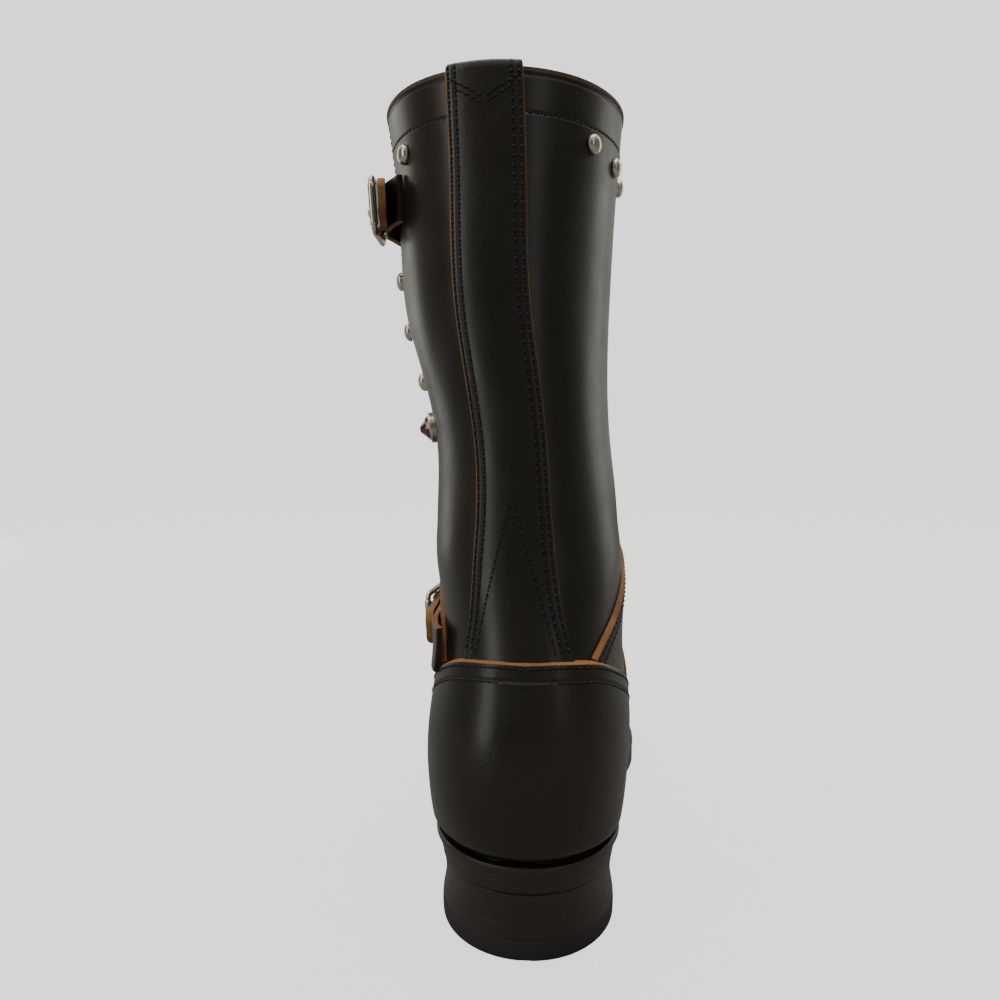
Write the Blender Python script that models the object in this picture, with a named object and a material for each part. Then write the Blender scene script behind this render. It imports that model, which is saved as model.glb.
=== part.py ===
"""Left engineer boot, empty and standing on its sole.

Metres, +Z up, +Y towards the toe, +X towards the inner side of the foot. The origin
is on the floor at the centre of the heel's ground face.

The upper is a ladder of rungs in the middle plane of the boot. Each rung runs from the
base line (the feather edge from toe to heel, then up the back seam) to the ridge line
(over the toe and the instep, then up the front of the shaft), and the half width of the
boot is worked out along it. Every overlay is cut from the same form, a little larger.
"""

import math

import bmesh
import bpy
import numpy as np
from mathutils import Vector

# Clearance between pieces that touch, and between an overlay and the faceted upper.
GAP = 0.0003
LAP_GAP = 0.0006
FEATHER_GAP = 0.0007

# The last: where the upper meets the welt.
LAST_LENGTH = 0.288
SEAT_BACK = 0.039
SEAT_WIDTH = 0.070
BALL_WIDTH = 0.096
HEEL_ROUND = 0.044
TOE_ROUND = 0.070
TOE_SPRING = 0.010

# The upper.
THROAT_HEIGHT = 0.155
TOP_HEIGHT = 0.3235
HEEL_CUP_WIDTH = 0.0735
ANKLE_WIDTH = 0.0775
COLLAR_WIDTH = 0.1005
COLLAR_LEAN = 0.0125
LEATHER = 0.0025
SIDE_SWELL = 0.05

# The sole, from the floor up.
HEEL_LENGTH = 0.073
CAP_THICKNESS = 0.0075
LIFT_COUNT = 3
LIFT_THICKNESS = 0.0058
OUTSOLE_THICKNESS = 0.0045
MIDSOLE_THICKNESS = 0.0033
WELT_THICKNESS = 0.0029
WELT_REACH = 0.0055
WELT_SEAM_WIDTH = 0.010
INSOLE_THICKNESS = 0.0030

# Overlays.
VAMP_THICKNESS = 0.0020
COUNTER_THICKNESS = 0.0026
COUNTER_GAP = 0.0008
LAP_STEP = 0.0006
STAY_WIDTH = 0.0285
STAY_THICKNESS = 0.0018
TAB_DEPTH = 0.026
TAB_GAP = 0.0006

# Straps and metal. A drop is measured down from the collar, an arc from the back seam.
STRAP_THICKNESS = 0.0030
CHAPE_THICKNESS = 0.0024
STRAP_WIDTH = 0.0180
TOP_STRAP_DROP = 0.0390
TOP_BUCKLE_ARC = 0.0690
WIRE_RADIUS = 0.00125
BUCKLE_HALF_LENGTH = 0.0125
PRONG_RADIUS = 0.0010
STUD_RADIUS = 0.0038
STUD_HEIGHT = 0.0028
STUD_DROP = 0.0255
STUD_PITCH = 0.0215
JEWEL_DROP = 0.1285
JEWEL_ARC = 0.0640
JEWEL_RADIUS = 0.0047
JEWEL_RISE = 0.0042
SETTING_RADIUS = 0.0064
SETTING_RISE = 0.0022

# Mesh density.
COLUMNS = 28
SOLE_STATIONS = 25

HEEL_HEIGHT = CAP_THICKNESS + LIFT_COUNT * (LIFT_THICKNESS + GAP)
SOLE_BUILD = OUTSOLE_THICKNESS + MIDSOLE_THICKNESS + WELT_THICKNESS + 2 * GAP + FEATHER_GAP
SEAT_HEIGHT = HEEL_HEIGHT + GAP + SOLE_BUILD

# Half width of the feather edge, from the seat's (0) to the ball's (1) half width.
PLAN = (
    # along, medial, lateral
    (0.00, -0.13, 0.02),
    (0.20, -0.20, 0.03),
    (0.32, -0.40, 0.10),
    (0.43, -0.58, 0.28),
    (0.54, -0.10, 0.60),
    (0.64, 0.68, 0.92),
    (0.72, 1.00, 1.04),
    (0.80, 0.98, 0.99),
    (0.90, 0.86, 0.87),
    (1.00, 0.76, 0.77),
)

# One row for each rung. base is minus the share of the last's length while the rung
# stands on the feather edge, then the height up the back seam (see height_at).
RUNGS = (
    # base, ridge along, ridge height, dome, power
    (-1.000, 1.000, 0.142, 1.00, 2.1),
    (-0.993, 1.013, 0.200, 1.00, 2.1),
    (-0.972, 1.013, 0.265, 1.00, 2.1),
    (-0.938, 0.996, 0.332, 1.00, 2.1),
    (-0.889, 0.958, 0.387, 0.98, 2.2),
    (-0.826, 0.903, 0.426, 0.95, 2.2),
    (-0.750, 0.833, 0.452, 0.93, 2.2),
    (-0.667, 0.760, 0.484, 0.90, 2.1),
    (-0.583, 0.691, 0.542, 0.86, 2.0),
    (-0.500, 0.635, 0.613, 0.80, 1.9),
    (-0.417, 0.594, 0.677, 0.74, 1.9),
    (-0.333, 0.559, 0.736, 0.68, 1.9),
    (-0.257, 0.533, 0.787, 0.62, 1.9),
    (-0.181, 0.512, 0.836, 0.56, 1.9),
    (-0.111, 0.497, 0.881, 0.51, 1.9),
    (-0.056, 0.484, 0.923, 0.47, 1.9),
    (-0.021, 0.476, 0.961, 0.44, 1.9),
    (0.000, 0.469, 1.000, 0.43, 1.9),
    (0.096, 0.463, 1.038, 0.43, 1.9),
    (0.199, 0.458, 1.079, 0.43, 2.0),
    (0.320, 0.455, 1.123, 0.44, 2.0),
    (0.457, 0.452, 1.170, 0.45, 2.0),
    (0.612, 0.451, 1.222, 0.46, 2.0),
    (0.785, 0.451, 1.281, 0.48, 2.0),
    (0.957, 0.453, 1.345, 0.49, 2.0),
    (1.094, 0.456, 1.415, 0.50, 2.0),
    (1.222, 0.460, 1.491, 0.50, 2.0),
    (1.357, 0.465, 1.573, 0.50, 2.0),
    (1.497, 0.471, 1.661, 0.50, 2.0),
    (1.643, 0.478, 1.754, 0.50, 2.0),
    (1.819, 0.486, 1.871, 0.50, 2.0),
    (2.000, 0.493, 2.000, 0.50, 2.0),
)
HEEL_RUNG = 17

# Where the back seam lies behind (minus) or before the heel end of the last.
BACK_LINE = (
    # height, share of the last's length
    (0.000, 0.000),
    (0.096, -0.012),
    (0.199, -0.018),
    (0.320, -0.018),
    (0.457, -0.009),
    (0.612, 0.009),
    (0.785, 0.027),
    (0.957, 0.039),
    (1.094, 0.046),
    (1.222, 0.050),
    (1.497, 0.055),
    (1.819, 0.060),
    (2.000, 0.062),
)

# Half width of heel, ankle and shaft, each a share of one of the named widths.
LEG = (
    # height, share, of width, lean share, back rounding as a share of the last
    (0.000, 1.000, SEAT_WIDTH, 0.00, 0.153),
    (0.130, 0.980, HEEL_CUP_WIDTH, 0.08, 0.155),
    (0.345, 1.000, HEEL_CUP_WIDTH, 0.04, 0.160),
    (0.620, 0.950, HEEL_CUP_WIDTH, 0.00, 0.170),
    (0.900, 0.995, ANKLE_WIDTH, 0.16, 0.185),
    (1.220, 0.946, ANKLE_WIDTH, 0.39, 0.195),
    (1.500, 0.843, COLLAR_WIDTH, 0.88, 0.205),
    (1.780, 0.909, COLLAR_WIDTH, 0.97, 0.212),
    (2.000, 0.985, COLLAR_WIDTH, 1.05, 0.215),
)

# Side of the heel block from the floor to the outsole: how far it stands in.
HEEL_SIDE = (
    # height, side inset, back inset, share of the welt's reach
    (0.00, 0.42, 0.86),
    (0.24, 0.40, 0.80),
    (0.62, 0.66, 0.74),
    (1.00, 0.52, 0.40),
)

# Top edge of the counter in side view, from the welt to the back seam.
COUNTER_EDGE = (
    # forward, up
    (0.052, 0.0405),
    (0.046, 0.055),
    (0.034, 0.072),
    (0.016, 0.088),
    (-0.004, 0.0995),
    (-0.014, 0.1045),
    (-0.022, 0.1083),
    (-0.030, 0.1105),
    (-0.0357, 0.1115),
)

# Top edge of the vamp in side view, from the ridge back to the counter.
VAMP_EDGE = (
    # forward, up
    (0.0961, 0.1549),
    (0.080, 0.1545),
    (0.060, 0.150),
    (0.034, 0.1405),
    (0.010, 0.1305),
    (-0.010, 0.1197),
    (-0.0185, 0.1141),
    (-0.0240, 0.1097),
)
# The same edge on the outer side, where it meets the counter further forward.
VAMP_EDGE_OUTER = (
    # forward, up
    (0.0961, 0.1549),
    (0.080, 0.1545),
    (0.060, 0.1495),
    (0.040, 0.1405),
    (0.022, 0.1290),
    (0.006, 0.1163),
    (-0.0040, 0.1084),
    (-0.0095, 0.1036),
)

# Width of the back stay, as a share of STAY_WIDTH, and where its middle runs.
STAY_SIDES = (
    # height, share, middle as an arc from the back seam (+ lateral)
    (0.111, 1.56, 0.0044),
    (0.124, 1.32, 0.0041),
    (0.140, 1.15, 0.0035),
    (0.165, 1.00, 0.0028),
    (0.205, 0.98, 0.0024),
    (0.260, 1.00, 0.0029),
    (0.320, 1.02, 0.0037),
)

# Height of the top strap and of its chape off the shaft, by arc from the back seam.
TOP_STRAP_LIFT = (
    # arc, off the shaft
    (0.0490, 0.0080),
    (0.0530, 0.0066),
    (0.0575, 0.0058),
    (0.0630, 0.0066),
    (0.0690, 0.0076),
    (0.0750, 0.0056),
    (0.0810, 0.0034),
    (0.0900, 0.0020),
    (0.1040, 0.0014),
    (0.1500, 0.0014),
)
TOP_CHAPE_LIFT = (
    # arc, off the shaft
    (0.0490, 0.0009),
    (0.0540, 0.0016),
    (0.0590, 0.0028),
    (0.0664, 0.0042),
)

# Course of the instep strap in side view, from its inner root to its free end.
INSTEP_COURSE = (
    # forward, up, side (1 medial, 0 ridge, -1 lateral), off the upper
    (0.052, 0.051, 1, 0.0038),
    (0.063, 0.068, 1, 0.0036),
    (0.079, 0.090, 1, 0.0033),
    (0.098, 0.112, 1, 0.0033),
    (0.114, 0.126, 0, 0.0034),
    (0.105, 0.1215, -1, 0.0035),
    (0.090, 0.1165, -1, 0.0037),
    (0.0745, 0.1135, -1, 0.0037),
    (0.062, 0.112, -1, 0.0054),
    (0.0515, 0.111, -1, 0.0086),
    (0.042, 0.1105, -1, 0.0072),
    (0.032, 0.110, -1, 0.0066),
    (0.022, 0.1095, -1, 0.0076),
)
INSTEP_CHAPE = (
    # forward, up, side, off the upper
    (-0.010, 0.108, -1, 0.0036),
    (0.010, 0.109, -1, 0.0036),
    (0.030, 0.110, -1, 0.0034),
    (0.0482, 0.111, -1, 0.0046),
)
INSTEP_BUCKLE = (0.0515, 0.111)

# Studs: first arc, step from one to the next, how many and drop from the collar.
STUD_ROWS = (
    # arc, step, count, drop
    (-0.0425, 0.0, 1, STUD_DROP - 0.0032),
    (-0.0650, 0.0, 1, STUD_DROP - 0.0003),
    (-0.0875, -STUD_PITCH, 4, STUD_DROP + 0.0015),
    (0.0455, 0.0, 1, STUD_DROP - 0.0020),
    (0.1120, STUD_PITCH, 3, STUD_DROP),
    (0.0715, 0.0, 1, 0.0675),
    (0.0700, 0.0, 1, 0.0885),
    (0.0680, 0.0, 1, 0.1095),
)

# How far the welt and soles stand out of the feather edge, as a share of WELT_REACH.
EDGE = (
    # along, share
    (0.00, 0.52),
    (0.22, 0.50),
    (0.38, 0.42),
    (0.52, 0.72),
    (0.70, 0.95),
    (1.00, 1.00),
)


def spline(table, column, at):
    """Natural cubic spline through one column of a table, read at `at`."""
    xs = np.array([row[0] for row in table], float)
    ys = np.array([row[column] for row in table], float)
    gaps = np.diff(xs)
    slopes = np.diff(ys) / gaps
    size = len(xs)
    matrix = np.eye(size)
    right = np.zeros(size)
    for i in range(1, size - 1):
        matrix[i, i - 1 : i + 2] = gaps[i - 1], 2 * (gaps[i - 1] + gaps[i]), gaps[i]
        right[i] = 6 * (slopes[i] - slopes[i - 1])
    bend = np.linalg.solve(matrix, right)
    at = np.clip(np.asarray(at, float), xs[0], xs[-1])
    i = np.clip(np.searchsorted(xs, at, side="right") - 1, 0, size - 2)
    a = (xs[i + 1] - at) / gaps[i]
    b = 1 - a
    curve = (a**3 - a) * bend[i] + (b**3 - b) * bend[i + 1]
    return a * ys[i] + b * ys[i + 1] + curve * gaps[i] ** 2 / 6


def smoothstep(t):
    t = np.clip(t, 0, 1)
    return t * t * (3 - 2 * t)


def rounded(share, power=2.0):
    """0 at the end of a rounding, 1 past it, with the outline of a superellipse."""
    share = np.clip(share, 0, 1)
    return (1 - (1 - share) ** power) ** (1 / power)


def along(share):
    """World y of a share of the last's length, from its heel end."""
    return share * LAST_LENGTH - SEAT_BACK


def share_of(y):
    return (np.asarray(y) + SEAT_BACK) / LAST_LENGTH


def height_at(share, foot=0.0):
    """Height of a share: 0 at `foot`, 1 at the throat and 2 at the collar."""
    share = np.asarray(share, float)
    low = foot + (THROAT_HEIGHT - foot) * np.minimum(share, 1)
    return low + (TOP_HEIGHT - THROAT_HEIGHT) * np.maximum(share - 1, 0)


def leg_share(z):
    """Share up the back seam of a height: 0 at the seat, 1 at the throat, 2 on top."""
    z = np.asarray(z, float)
    low = (z - SEAT_HEIGHT) / (THROAT_HEIGHT - SEAT_HEIGHT)
    high = 1 + (z - THROAT_HEIGHT) / (TOP_HEIGHT - THROAT_HEIGHT)
    return np.clip(np.where(z < THROAT_HEIGHT, low, high), 0, 2)


def tread_height(y):
    """Underside of the outsole: raised on the heel, down at the ball, up at the toe."""
    share = share_of(y)
    lift = (HEEL_HEIGHT + GAP) * (1 - smoothstep((share - 0.25) / 0.40))
    spring = TOE_SPRING * np.clip((share - 0.70) / 0.30, 0, 1.1) ** 2
    return lift + spring


def feather_height(y):
    return tread_height(y) + SOLE_BUILD


def plan_half(share, side):
    """Half width of the feather edge; side is 1 for medial and -1 for lateral."""
    share = np.asarray(share, float)
    column = np.where(np.asarray(side) > 0, spline(PLAN, 1, share), spline(PLAN, 2, share))
    half = SEAT_WIDTH / 2 + (BALL_WIDTH - SEAT_WIDTH) / 2 * column
    heel = rounded(share * LAST_LENGTH / HEEL_ROUND, 2.05)
    toe = rounded((1 - share) * LAST_LENGTH / TOE_ROUND, 2.15)
    return half * heel * toe


def rung_ends(v):
    """Base point and ridge point, each (y, z), of the rung at row v of RUNGS."""
    rows = [(i, *row) for i, row in enumerate(RUNGS)]
    base = spline(rows, 1, v)
    foot_y = along(np.clip(-base, 0, 1))
    back_z = height_at(np.maximum(base, 0), SEAT_HEIGHT)
    back_y = along(spline(BACK_LINE, 1, np.maximum(base, 0)))
    on_foot = base < 0
    base_y = np.where(on_foot, foot_y, back_y)
    base_z = np.where(on_foot, feather_height(foot_y), back_z)
    ridge_y = along(spline(rows, 2, v))
    ridge_z = height_at(spline(rows, 3, v))
    return base_y, base_z, ridge_y, ridge_z


def half_width(v, s, side):
    """Half width of the upper at share s of rung v, base to ridge, on one side."""
    rows = [(i, *row) for i, row in enumerate(RUNGS)]
    base_y, base_z, ridge_y, ridge_z = rung_ends(v)
    y = base_y + (ridge_y - base_y) * s
    z = base_z + (ridge_z - base_z) * s
    dome = rounded((1 - s) / spline(rows, 4, v), spline(rows, 5, v))
    foot = plan_half(share_of(base_y), side)
    fore = foot * (1 + SIDE_SWELL * np.sin(math.pi * np.clip(s / 0.6, 0, 1)))
    rear = leg_half(y, z)
    at_base = np.maximum(leg_half(base_y, base_z), 1e-6)
    match = np.where(spline(rows, 1, v) < -0.02, foot / at_base, 1.0)
    rear = rear * (1 + (match - 1) * np.clip(1 - s / 0.5, 0, 1) ** 2)
    weight = smoothstep((v - 7) / 6)
    return (fore * (1 - weight) + rear * weight) * dome


def leg_half(y, z):
    """Half width of heel, ankle and shaft, before the front is rounded."""
    rows = [(h, share * width / 2, lean, rnd) for h, share, width, lean, rnd in LEG]
    level = leg_share(z)
    back = along(spline(BACK_LINE, 1, level))
    rounding = spline(rows, 3, level) * LAST_LENGTH
    return spline(rows, 1, level) * rounded((y - back) / rounding)


def lean(z):
    """How far the leg stands to the lateral side at a height."""
    rows = [(row[0], row[3]) for row in LEG]
    return -COLLAR_LEAN * spline(rows, 1, leg_share(z))


def share_up(v, u):
    """Share of the rung, base to ridge, at u; closer stations at the back seam."""
    t = 1 - np.abs(2 * u - 1)
    closed = smoothstep((v - HEEL_RUNG + 8) / 8)
    return (1 - closed) * np.sin(math.pi / 2 * t) + closed * (1 - np.cos(math.pi * t)) / 2


def upper_point(v, u):
    """Point of the upper's outside at row v; u runs 0 lateral, 0.5 ridge, 1 medial."""
    v, u = np.broadcast_arrays(np.asarray(v, float), np.asarray(u, float))
    s = share_up(v, u)
    side = np.where(u < 0.5, -1, 1)
    base_y, base_z, ridge_y, ridge_z = rung_ends(v)
    y = base_y + (ridge_y - base_y) * s
    z = base_z + (ridge_z - base_z) * s
    x = side * half_width(v, s, side) + lean(z)
    return np.stack([x, y, z], -1)


def upper_normal(v, u):
    """Outward unit normal of the upper's outside."""
    step = 1e-3
    v, u = np.broadcast_arrays(np.asarray(v, float), np.asarray(u, float))
    under = np.where(np.abs(v - HEEL_RUNG) < 2 * step, v, np.maximum(v - step, 0))
    dv = upper_point(np.minimum(v + step, len(RUNGS) - 1), u) - upper_point(under, u)
    du = upper_point(v, np.clip(u + step, 0, 1)) - upper_point(v, np.clip(u - step, 0, 1))
    normal = np.cross(dv, du)
    seam = ((u < 1e-6) | (u > 1 - 1e-6)) & (v >= HEEL_RUNG)
    normal[..., 0] = np.where(seam, 0.0, normal[..., 0])
    normal = np.where((v < 1e-6)[..., None], [0.0, 1.0, 0.0], normal)
    return normal / np.maximum(np.linalg.norm(normal, axis=-1, keepdims=True), 1e-12)


def raised(v, u, height):
    """Point that stands a height off the upper's outside."""
    return upper_point(v, u) + upper_normal(v, u) * np.asarray(height)[..., None]


def u_at(v, s, side):
    """The u of share s of rung v, on the lateral (-1) or medial (1) side."""
    v, s = np.broadcast_arrays(np.asarray(v, float), np.asarray(s, float))
    low = np.zeros(v.shape)
    high = np.full(v.shape, 0.5)
    for _ in range(30):
        middle = (low + high) / 2
        over = share_up(v, middle) > s
        high = np.where(over, middle, high)
        low = np.where(over, low, middle)
    u = (low + high) / 2
    u = np.where(s <= 0, 0.0, np.where(s >= 1, 0.5, u))
    return u if side < 0 else 1 - u


def place(y, z):
    """Rung and share of a point given in side view."""
    low, high = 0.0, float(len(RUNGS) - 1)
    for _ in range(40):
        v = (low + high) / 2
        base_y, base_z, ridge_y, ridge_z = rung_ends(v)
        turn = (ridge_y - base_y) * (z - base_z) - (ridge_z - base_z) * (y - base_y)
        if turn > 0:
            low = v
        else:
            high = v
    base_y, base_z, ridge_y, ridge_z = rung_ends(v)
    run = np.array([ridge_y - base_y, ridge_z - base_z])
    share = float(np.dot(run, [y - base_y, z - base_z]) / np.dot(run, run))
    return v, min(max(share, 0.0), 1.0)


def leg_at(arc, z):
    """Rung and u on the leg at a height, a signed arc from the back seam (+ lateral)."""
    angles = np.linspace(0, 0.5, 61)
    low = np.full(angles.shape, float(HEEL_RUNG))
    high = np.full(angles.shape, float(len(RUNGS) - 1))
    us = angles if arc >= 0 else 1 - angles
    for _ in range(26):
        middle = (low + high) / 2
        above = upper_point(middle, us)[..., 2] > z
        high = np.where(above, middle, high)
        low = np.where(above, low, middle)
    ring = upper_point((low + high) / 2, us)
    run = np.concatenate([[0], np.cumsum(np.linalg.norm(np.diff(ring, axis=0), axis=1))])
    u = float(np.interp(abs(arc), run, us))
    v = float(np.interp(abs(arc), run, (low + high) / 2))
    return v, u


def move_on_form(v, u, shift):
    """Rung and u after a small move along the form, in metres."""
    for _ in range(4):
        here = upper_point(v, u)
        dv = (upper_point(v + 1e-3, u) - here) / 1e-3
        du = (upper_point(v, u + 1e-4) - here) / 1e-4
        step, *_ = np.linalg.lstsq(np.stack([dv, du], 1), np.asarray(shift) / 4, rcond=None)
        v = v + step[0]
        u = u + step[1]
    return v, u


def material(name, colour, roughness, metallic=0.0):
    made = bpy.data.materials.new(name)
    made.use_nodes = True
    shader = made.node_tree.nodes["Principled BSDF"]
    shader.inputs["Base Color"].default_value = (*colour, 1)
    shader.inputs["Roughness"].default_value = roughness
    shader.inputs["Metallic"].default_value = metallic
    return made


def add_object(name, mesh, finish, smooth=True):
    made = bpy.data.objects.new(name, mesh)
    bpy.context.scene.collection.objects.link(made)
    mesh.materials.append(finish)
    if smooth:
        mesh.shade_smooth()
        mesh.set_sharp_from_angle(angle=math.radians(40))
    return made


def two_skins(name, pairs, finish):
    """Closed solid between a low and a high skin, each given as grids that may share
    edges. Coinciding points are welded, and the free edges are walled."""
    index, seen = {}, set()
    lows, highs, faces = [], [], []
    for low, high in pairs:
        rows, columns = low.shape[:2]
        numbers = np.zeros((rows, columns), int)
        for i in range(rows):
            for j in range(columns):
                key = tuple(np.round(low[i, j] * 20000).astype(int))
                if key not in index:
                    index[key] = len(lows)
                    lows.append(low[i, j])
                    highs.append(high[i, j])
                numbers[i, j] = index[key]
        for i in range(rows - 1):
            for j in range(columns - 1):
                ring = [numbers[i, j], numbers[i + 1, j]]
                ring += [numbers[i + 1, j + 1], numbers[i, j + 1]]
                for part in triangles(*ring, [lows[n] for n in ring]):
                    corners = frozenset(part)
                    if len(corners) == 3 and corners not in seen:
                        seen.add(corners)
                        faces.append(list(part))
    uses = {}
    for ring in faces:
        for one, two in zip(ring, ring[1:] + ring[:1]):
            uses[(one, two)] = True
    shape = bmesh.new()
    low_verts = [shape.verts.new(p) for p in lows]
    high_verts = [shape.verts.new(p) for p in highs]
    for ring in faces:
        shape.faces.new([high_verts[n] for n in ring])
        shape.faces.new([low_verts[n] for n in reversed(ring)])
    for one, two in uses:
        if (two, one) not in uses:
            around = (high_verts[two], high_verts[one], low_verts[one], low_verts[two])
            shape.faces.new(around)
    loose = [vert for vert in shape.verts if not vert.link_faces]
    bmesh.ops.delete(shape, geom=loose, context="VERTS")
    bmesh.ops.recalc_face_normals(shape, faces=shape.faces)
    mesh = bpy.data.meshes.new(name)
    shape.to_mesh(mesh)
    shape.free()
    return add_object(name, mesh, finish)


def skins(v, u, low, high):
    """A pair of grids at two heights off the form, kept above the feather line."""
    pair = []
    for height in (low, high):
        points = raised(v, u, np.broadcast_to(height, np.shape(v)))
        floor = feather_height(points[..., 1])
        foot = points[..., 2] < SEAT_HEIGHT + 0.006
        points[..., 2] = np.where(foot, np.maximum(points[..., 2], floor), points[..., 2])
        pair.append(points)
    return tuple(pair)


def tube(name, path, radius, finish, closed=False, sides=8, ends=1.0):
    """Round bar along a path, closed on itself or capped; ends scales the end radius."""
    path = np.asarray(path, float)
    count = len(path)
    if closed:
        tangents = np.roll(path, -1, 0) - np.roll(path, 1, 0)
    else:
        tangents = np.gradient(path, axis=0)
    tangents /= np.linalg.norm(tangents, axis=1, keepdims=True)
    middle = path.mean(0)
    rings = []
    side = np.cross(tangents[0], [0.31, 0.52, 0.79])
    for i in range(count):
        side = side - tangents[i] * np.dot(side, tangents[i])
        side /= np.linalg.norm(side)
        other = np.cross(tangents[i], side)
        reach = radius * (ends if not closed and i in (0, count - 1) else 1.0)
        turns = np.arange(sides) * 2 * math.pi / sides
        rings.append([path[i] + reach * (side * math.cos(t) + other * math.sin(t)) for t in turns])
    shape = bmesh.new()
    verts = [[shape.verts.new(p) for p in ring] for ring in rings]
    spans = count if closed else count - 1
    offset = 0
    if closed:
        gaps = [np.linalg.norm(rings[-1][0] - rings[0][k]) for k in range(sides)]
        offset = int(np.argmin(gaps))
    for i in range(spans):
        turn = offset if i == count - 1 else 0
        low, high = verts[i], verts[(i + 1) % count]
        for k in range(sides):
            n = (k + 1) % sides
            around = (low[k], low[n], high[(n + turn) % sides], high[(k + turn) % sides])
            shape.faces.new(around)
    if not closed:
        shape.faces.new(verts[0])
        shape.faces.new(verts[-1])
    bmesh.ops.recalc_face_normals(shape, faces=shape.faces)
    mesh = bpy.data.meshes.new(name)
    shape.to_mesh(mesh)
    shape.free()
    return add_object(name, mesh, finish)


def turned(name, profile, centre, normal, finish, sides=16):
    """Solid turned about a normal at a point, from (radius, height) rows; it starts and
    ends on the axis."""
    normal = Vector(normal).normalized()
    side = normal.orthogonal().normalized()
    other = normal.cross(side)
    centre = Vector(centre)
    shape = bmesh.new()
    rings = []
    for radius, height in profile:
        if radius <= 0:
            rings.append([shape.verts.new(centre + normal * height)])
            continue
        ring = []
        for k in range(sides):
            turn = 2 * math.pi * k / sides
            out = side * math.cos(turn) + other * math.sin(turn)
            ring.append(shape.verts.new(centre + out * radius + normal * height))
        rings.append(ring)
    for low, high in zip(rings, rings[1:]):
        for k in range(sides):
            n = (k + 1) % sides
            if len(low) == 1:
                shape.faces.new((low[0], high[n], high[k]))
            elif len(high) == 1:
                shape.faces.new((low[k], low[n], high[0]))
            else:
                shape.faces.new((low[k], low[n], high[n], high[k]))
    bmesh.ops.recalc_face_normals(shape, faces=shape.faces)
    mesh = bpy.data.meshes.new(name)
    shape.to_mesh(mesh)
    shape.free()
    return add_object(name, mesh, finish)


def triangles(a, b, c, d, spots):
    """A four-sided cell as two triangles, split along its shorter diagonal."""
    one = np.linalg.norm(spots[0] - spots[2])
    two = np.linalg.norm(spots[1] - spots[3])
    if one <= two * 1.001:
        return (a, b, c), (a, c, d)
    return (a, b, d), (b, c, d)


def sheet_shape(points):
    """Sheet from a grid of points, with coinciding points welded."""
    shape = bmesh.new()
    rows, columns = points.shape[:2]
    verts = [[shape.verts.new(points[i, j]) for j in range(columns)] for i in range(rows)]
    for i in range(rows - 1):
        for j in range(columns - 1):
            around = (verts[i][j], verts[i + 1][j], verts[i + 1][j + 1], verts[i][j + 1])
            spots = [np.array(vert.co) for vert in around]
            for corners in triangles(*around, spots):
                shape.faces.new(corners)
    bmesh.ops.remove_doubles(shape, verts=shape.verts, dist=2e-5)
    bmesh.ops.dissolve_degenerate(shape, edges=shape.edges, dist=1e-6)
    shape.normal_update()
    return shape


def walled(name, points, thickness, finish):
    """Solid of even wall from a grid: outward for a plus thickness, inward for minus.

    No point of the second skin goes below the feather line."""
    shape = sheet_shape(points)
    verts = list(shape.verts)
    faces = list(shape.faces)
    rims = [edge for edge in shape.edges if edge.is_boundary]
    twins = {}
    for vert in verts:
        moved = vert.co + vert.normal * thickness
        if vert.co.z < SEAT_HEIGHT + 0.004:
            flat = Vector((vert.normal.x, vert.normal.y, 0))
            if vert.is_boundary and flat.length > 0.3:
                moved = vert.co + flat.normalized() * thickness
                moved.z = float(feather_height(moved.y))
            moved.z = max(moved.z, float(feather_height(moved.y)))
        twins[vert] = shape.verts.new(moved)
    for face in faces:
        shape.faces.new([twins[vert] for vert in reversed(face.verts)])
    for edge in rims:
        loop = edge.link_loops[0]
        one, two = loop.vert, loop.link_loop_next.vert
        shape.faces.new((two, one, twins[one], twins[two]))
    bmesh.ops.recalc_face_normals(shape, faces=shape.faces)
    mesh = bpy.data.meshes.new(name)
    shape.to_mesh(mesh)
    shape.free()
    return add_object(name, mesh, finish)


def slab(name, loops, finish):
    """Closed solid from stacked loops of equal length, capped across at both ends.

    Each loop holds its medial points from heel to toe and then its lateral points
    from toe to heel, so that a cap is a row of strips across the sole."""
    shape = bmesh.new()
    rings = [[shape.verts.new(p) for p in loop] for loop in loops]
    count = len(rings[0])
    for low, high in zip(rings, rings[1:]):
        for i in range(count):
            k = (i + 1) % count
            shape.faces.new((low[i], low[k], high[k], high[i]))
    for ring, top in ((rings[0], False), (rings[-1], True)):
        half = count // 2
        for i in range(half - 1):
            strip = (ring[i], ring[i + 1], ring[count - 2 - i], ring[count - 1 - i])
            shape.faces.new(strip if top else strip[::-1])
    bmesh.ops.remove_doubles(shape, verts=shape.verts, dist=1e-6)
    bmesh.ops.recalc_face_normals(shape, faces=shape.faces)
    mesh = bpy.data.meshes.new(name)
    shape.to_mesh(mesh)
    shape.free()
    return add_object(name, mesh, finish)


def feather_outline(inset=0.0, edge_share=0.0):
    """Plan outline: the feather edge moved in, or out by a share of the welt's reach."""
    turn = np.linspace(0, math.pi, SOLE_STATIONS + 1)
    shares = (1 - np.cos(turn)) / 2
    shares = shares[:-1] * 0.9985 + 0.0006
    medial = np.stack([plan_half(shares, 1), along(shares)], -1)
    lateral = np.stack([-plan_half(shares, -1), along(shares)], -1)[::-1]
    loop = np.concatenate([medial, lateral])
    tangent = np.roll(loop, -1, 0) - np.roll(loop, 1, 0)
    normal = np.stack([tangent[:, 1], -tangent[:, 0]], -1)
    normal /= np.linalg.norm(normal, axis=1, keepdims=True)
    reach = WELT_REACH * edge_share * spline(EDGE, 1, share_of(loop[:, 1]))
    return loop + normal * (reach - inset)[:, None]


def at_height(loop, base, rise):
    """Plan loop lifted to a curved base surface plus a rise."""
    return [(x, y, float(base(y)) + rise) for x, y in loop]


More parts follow.
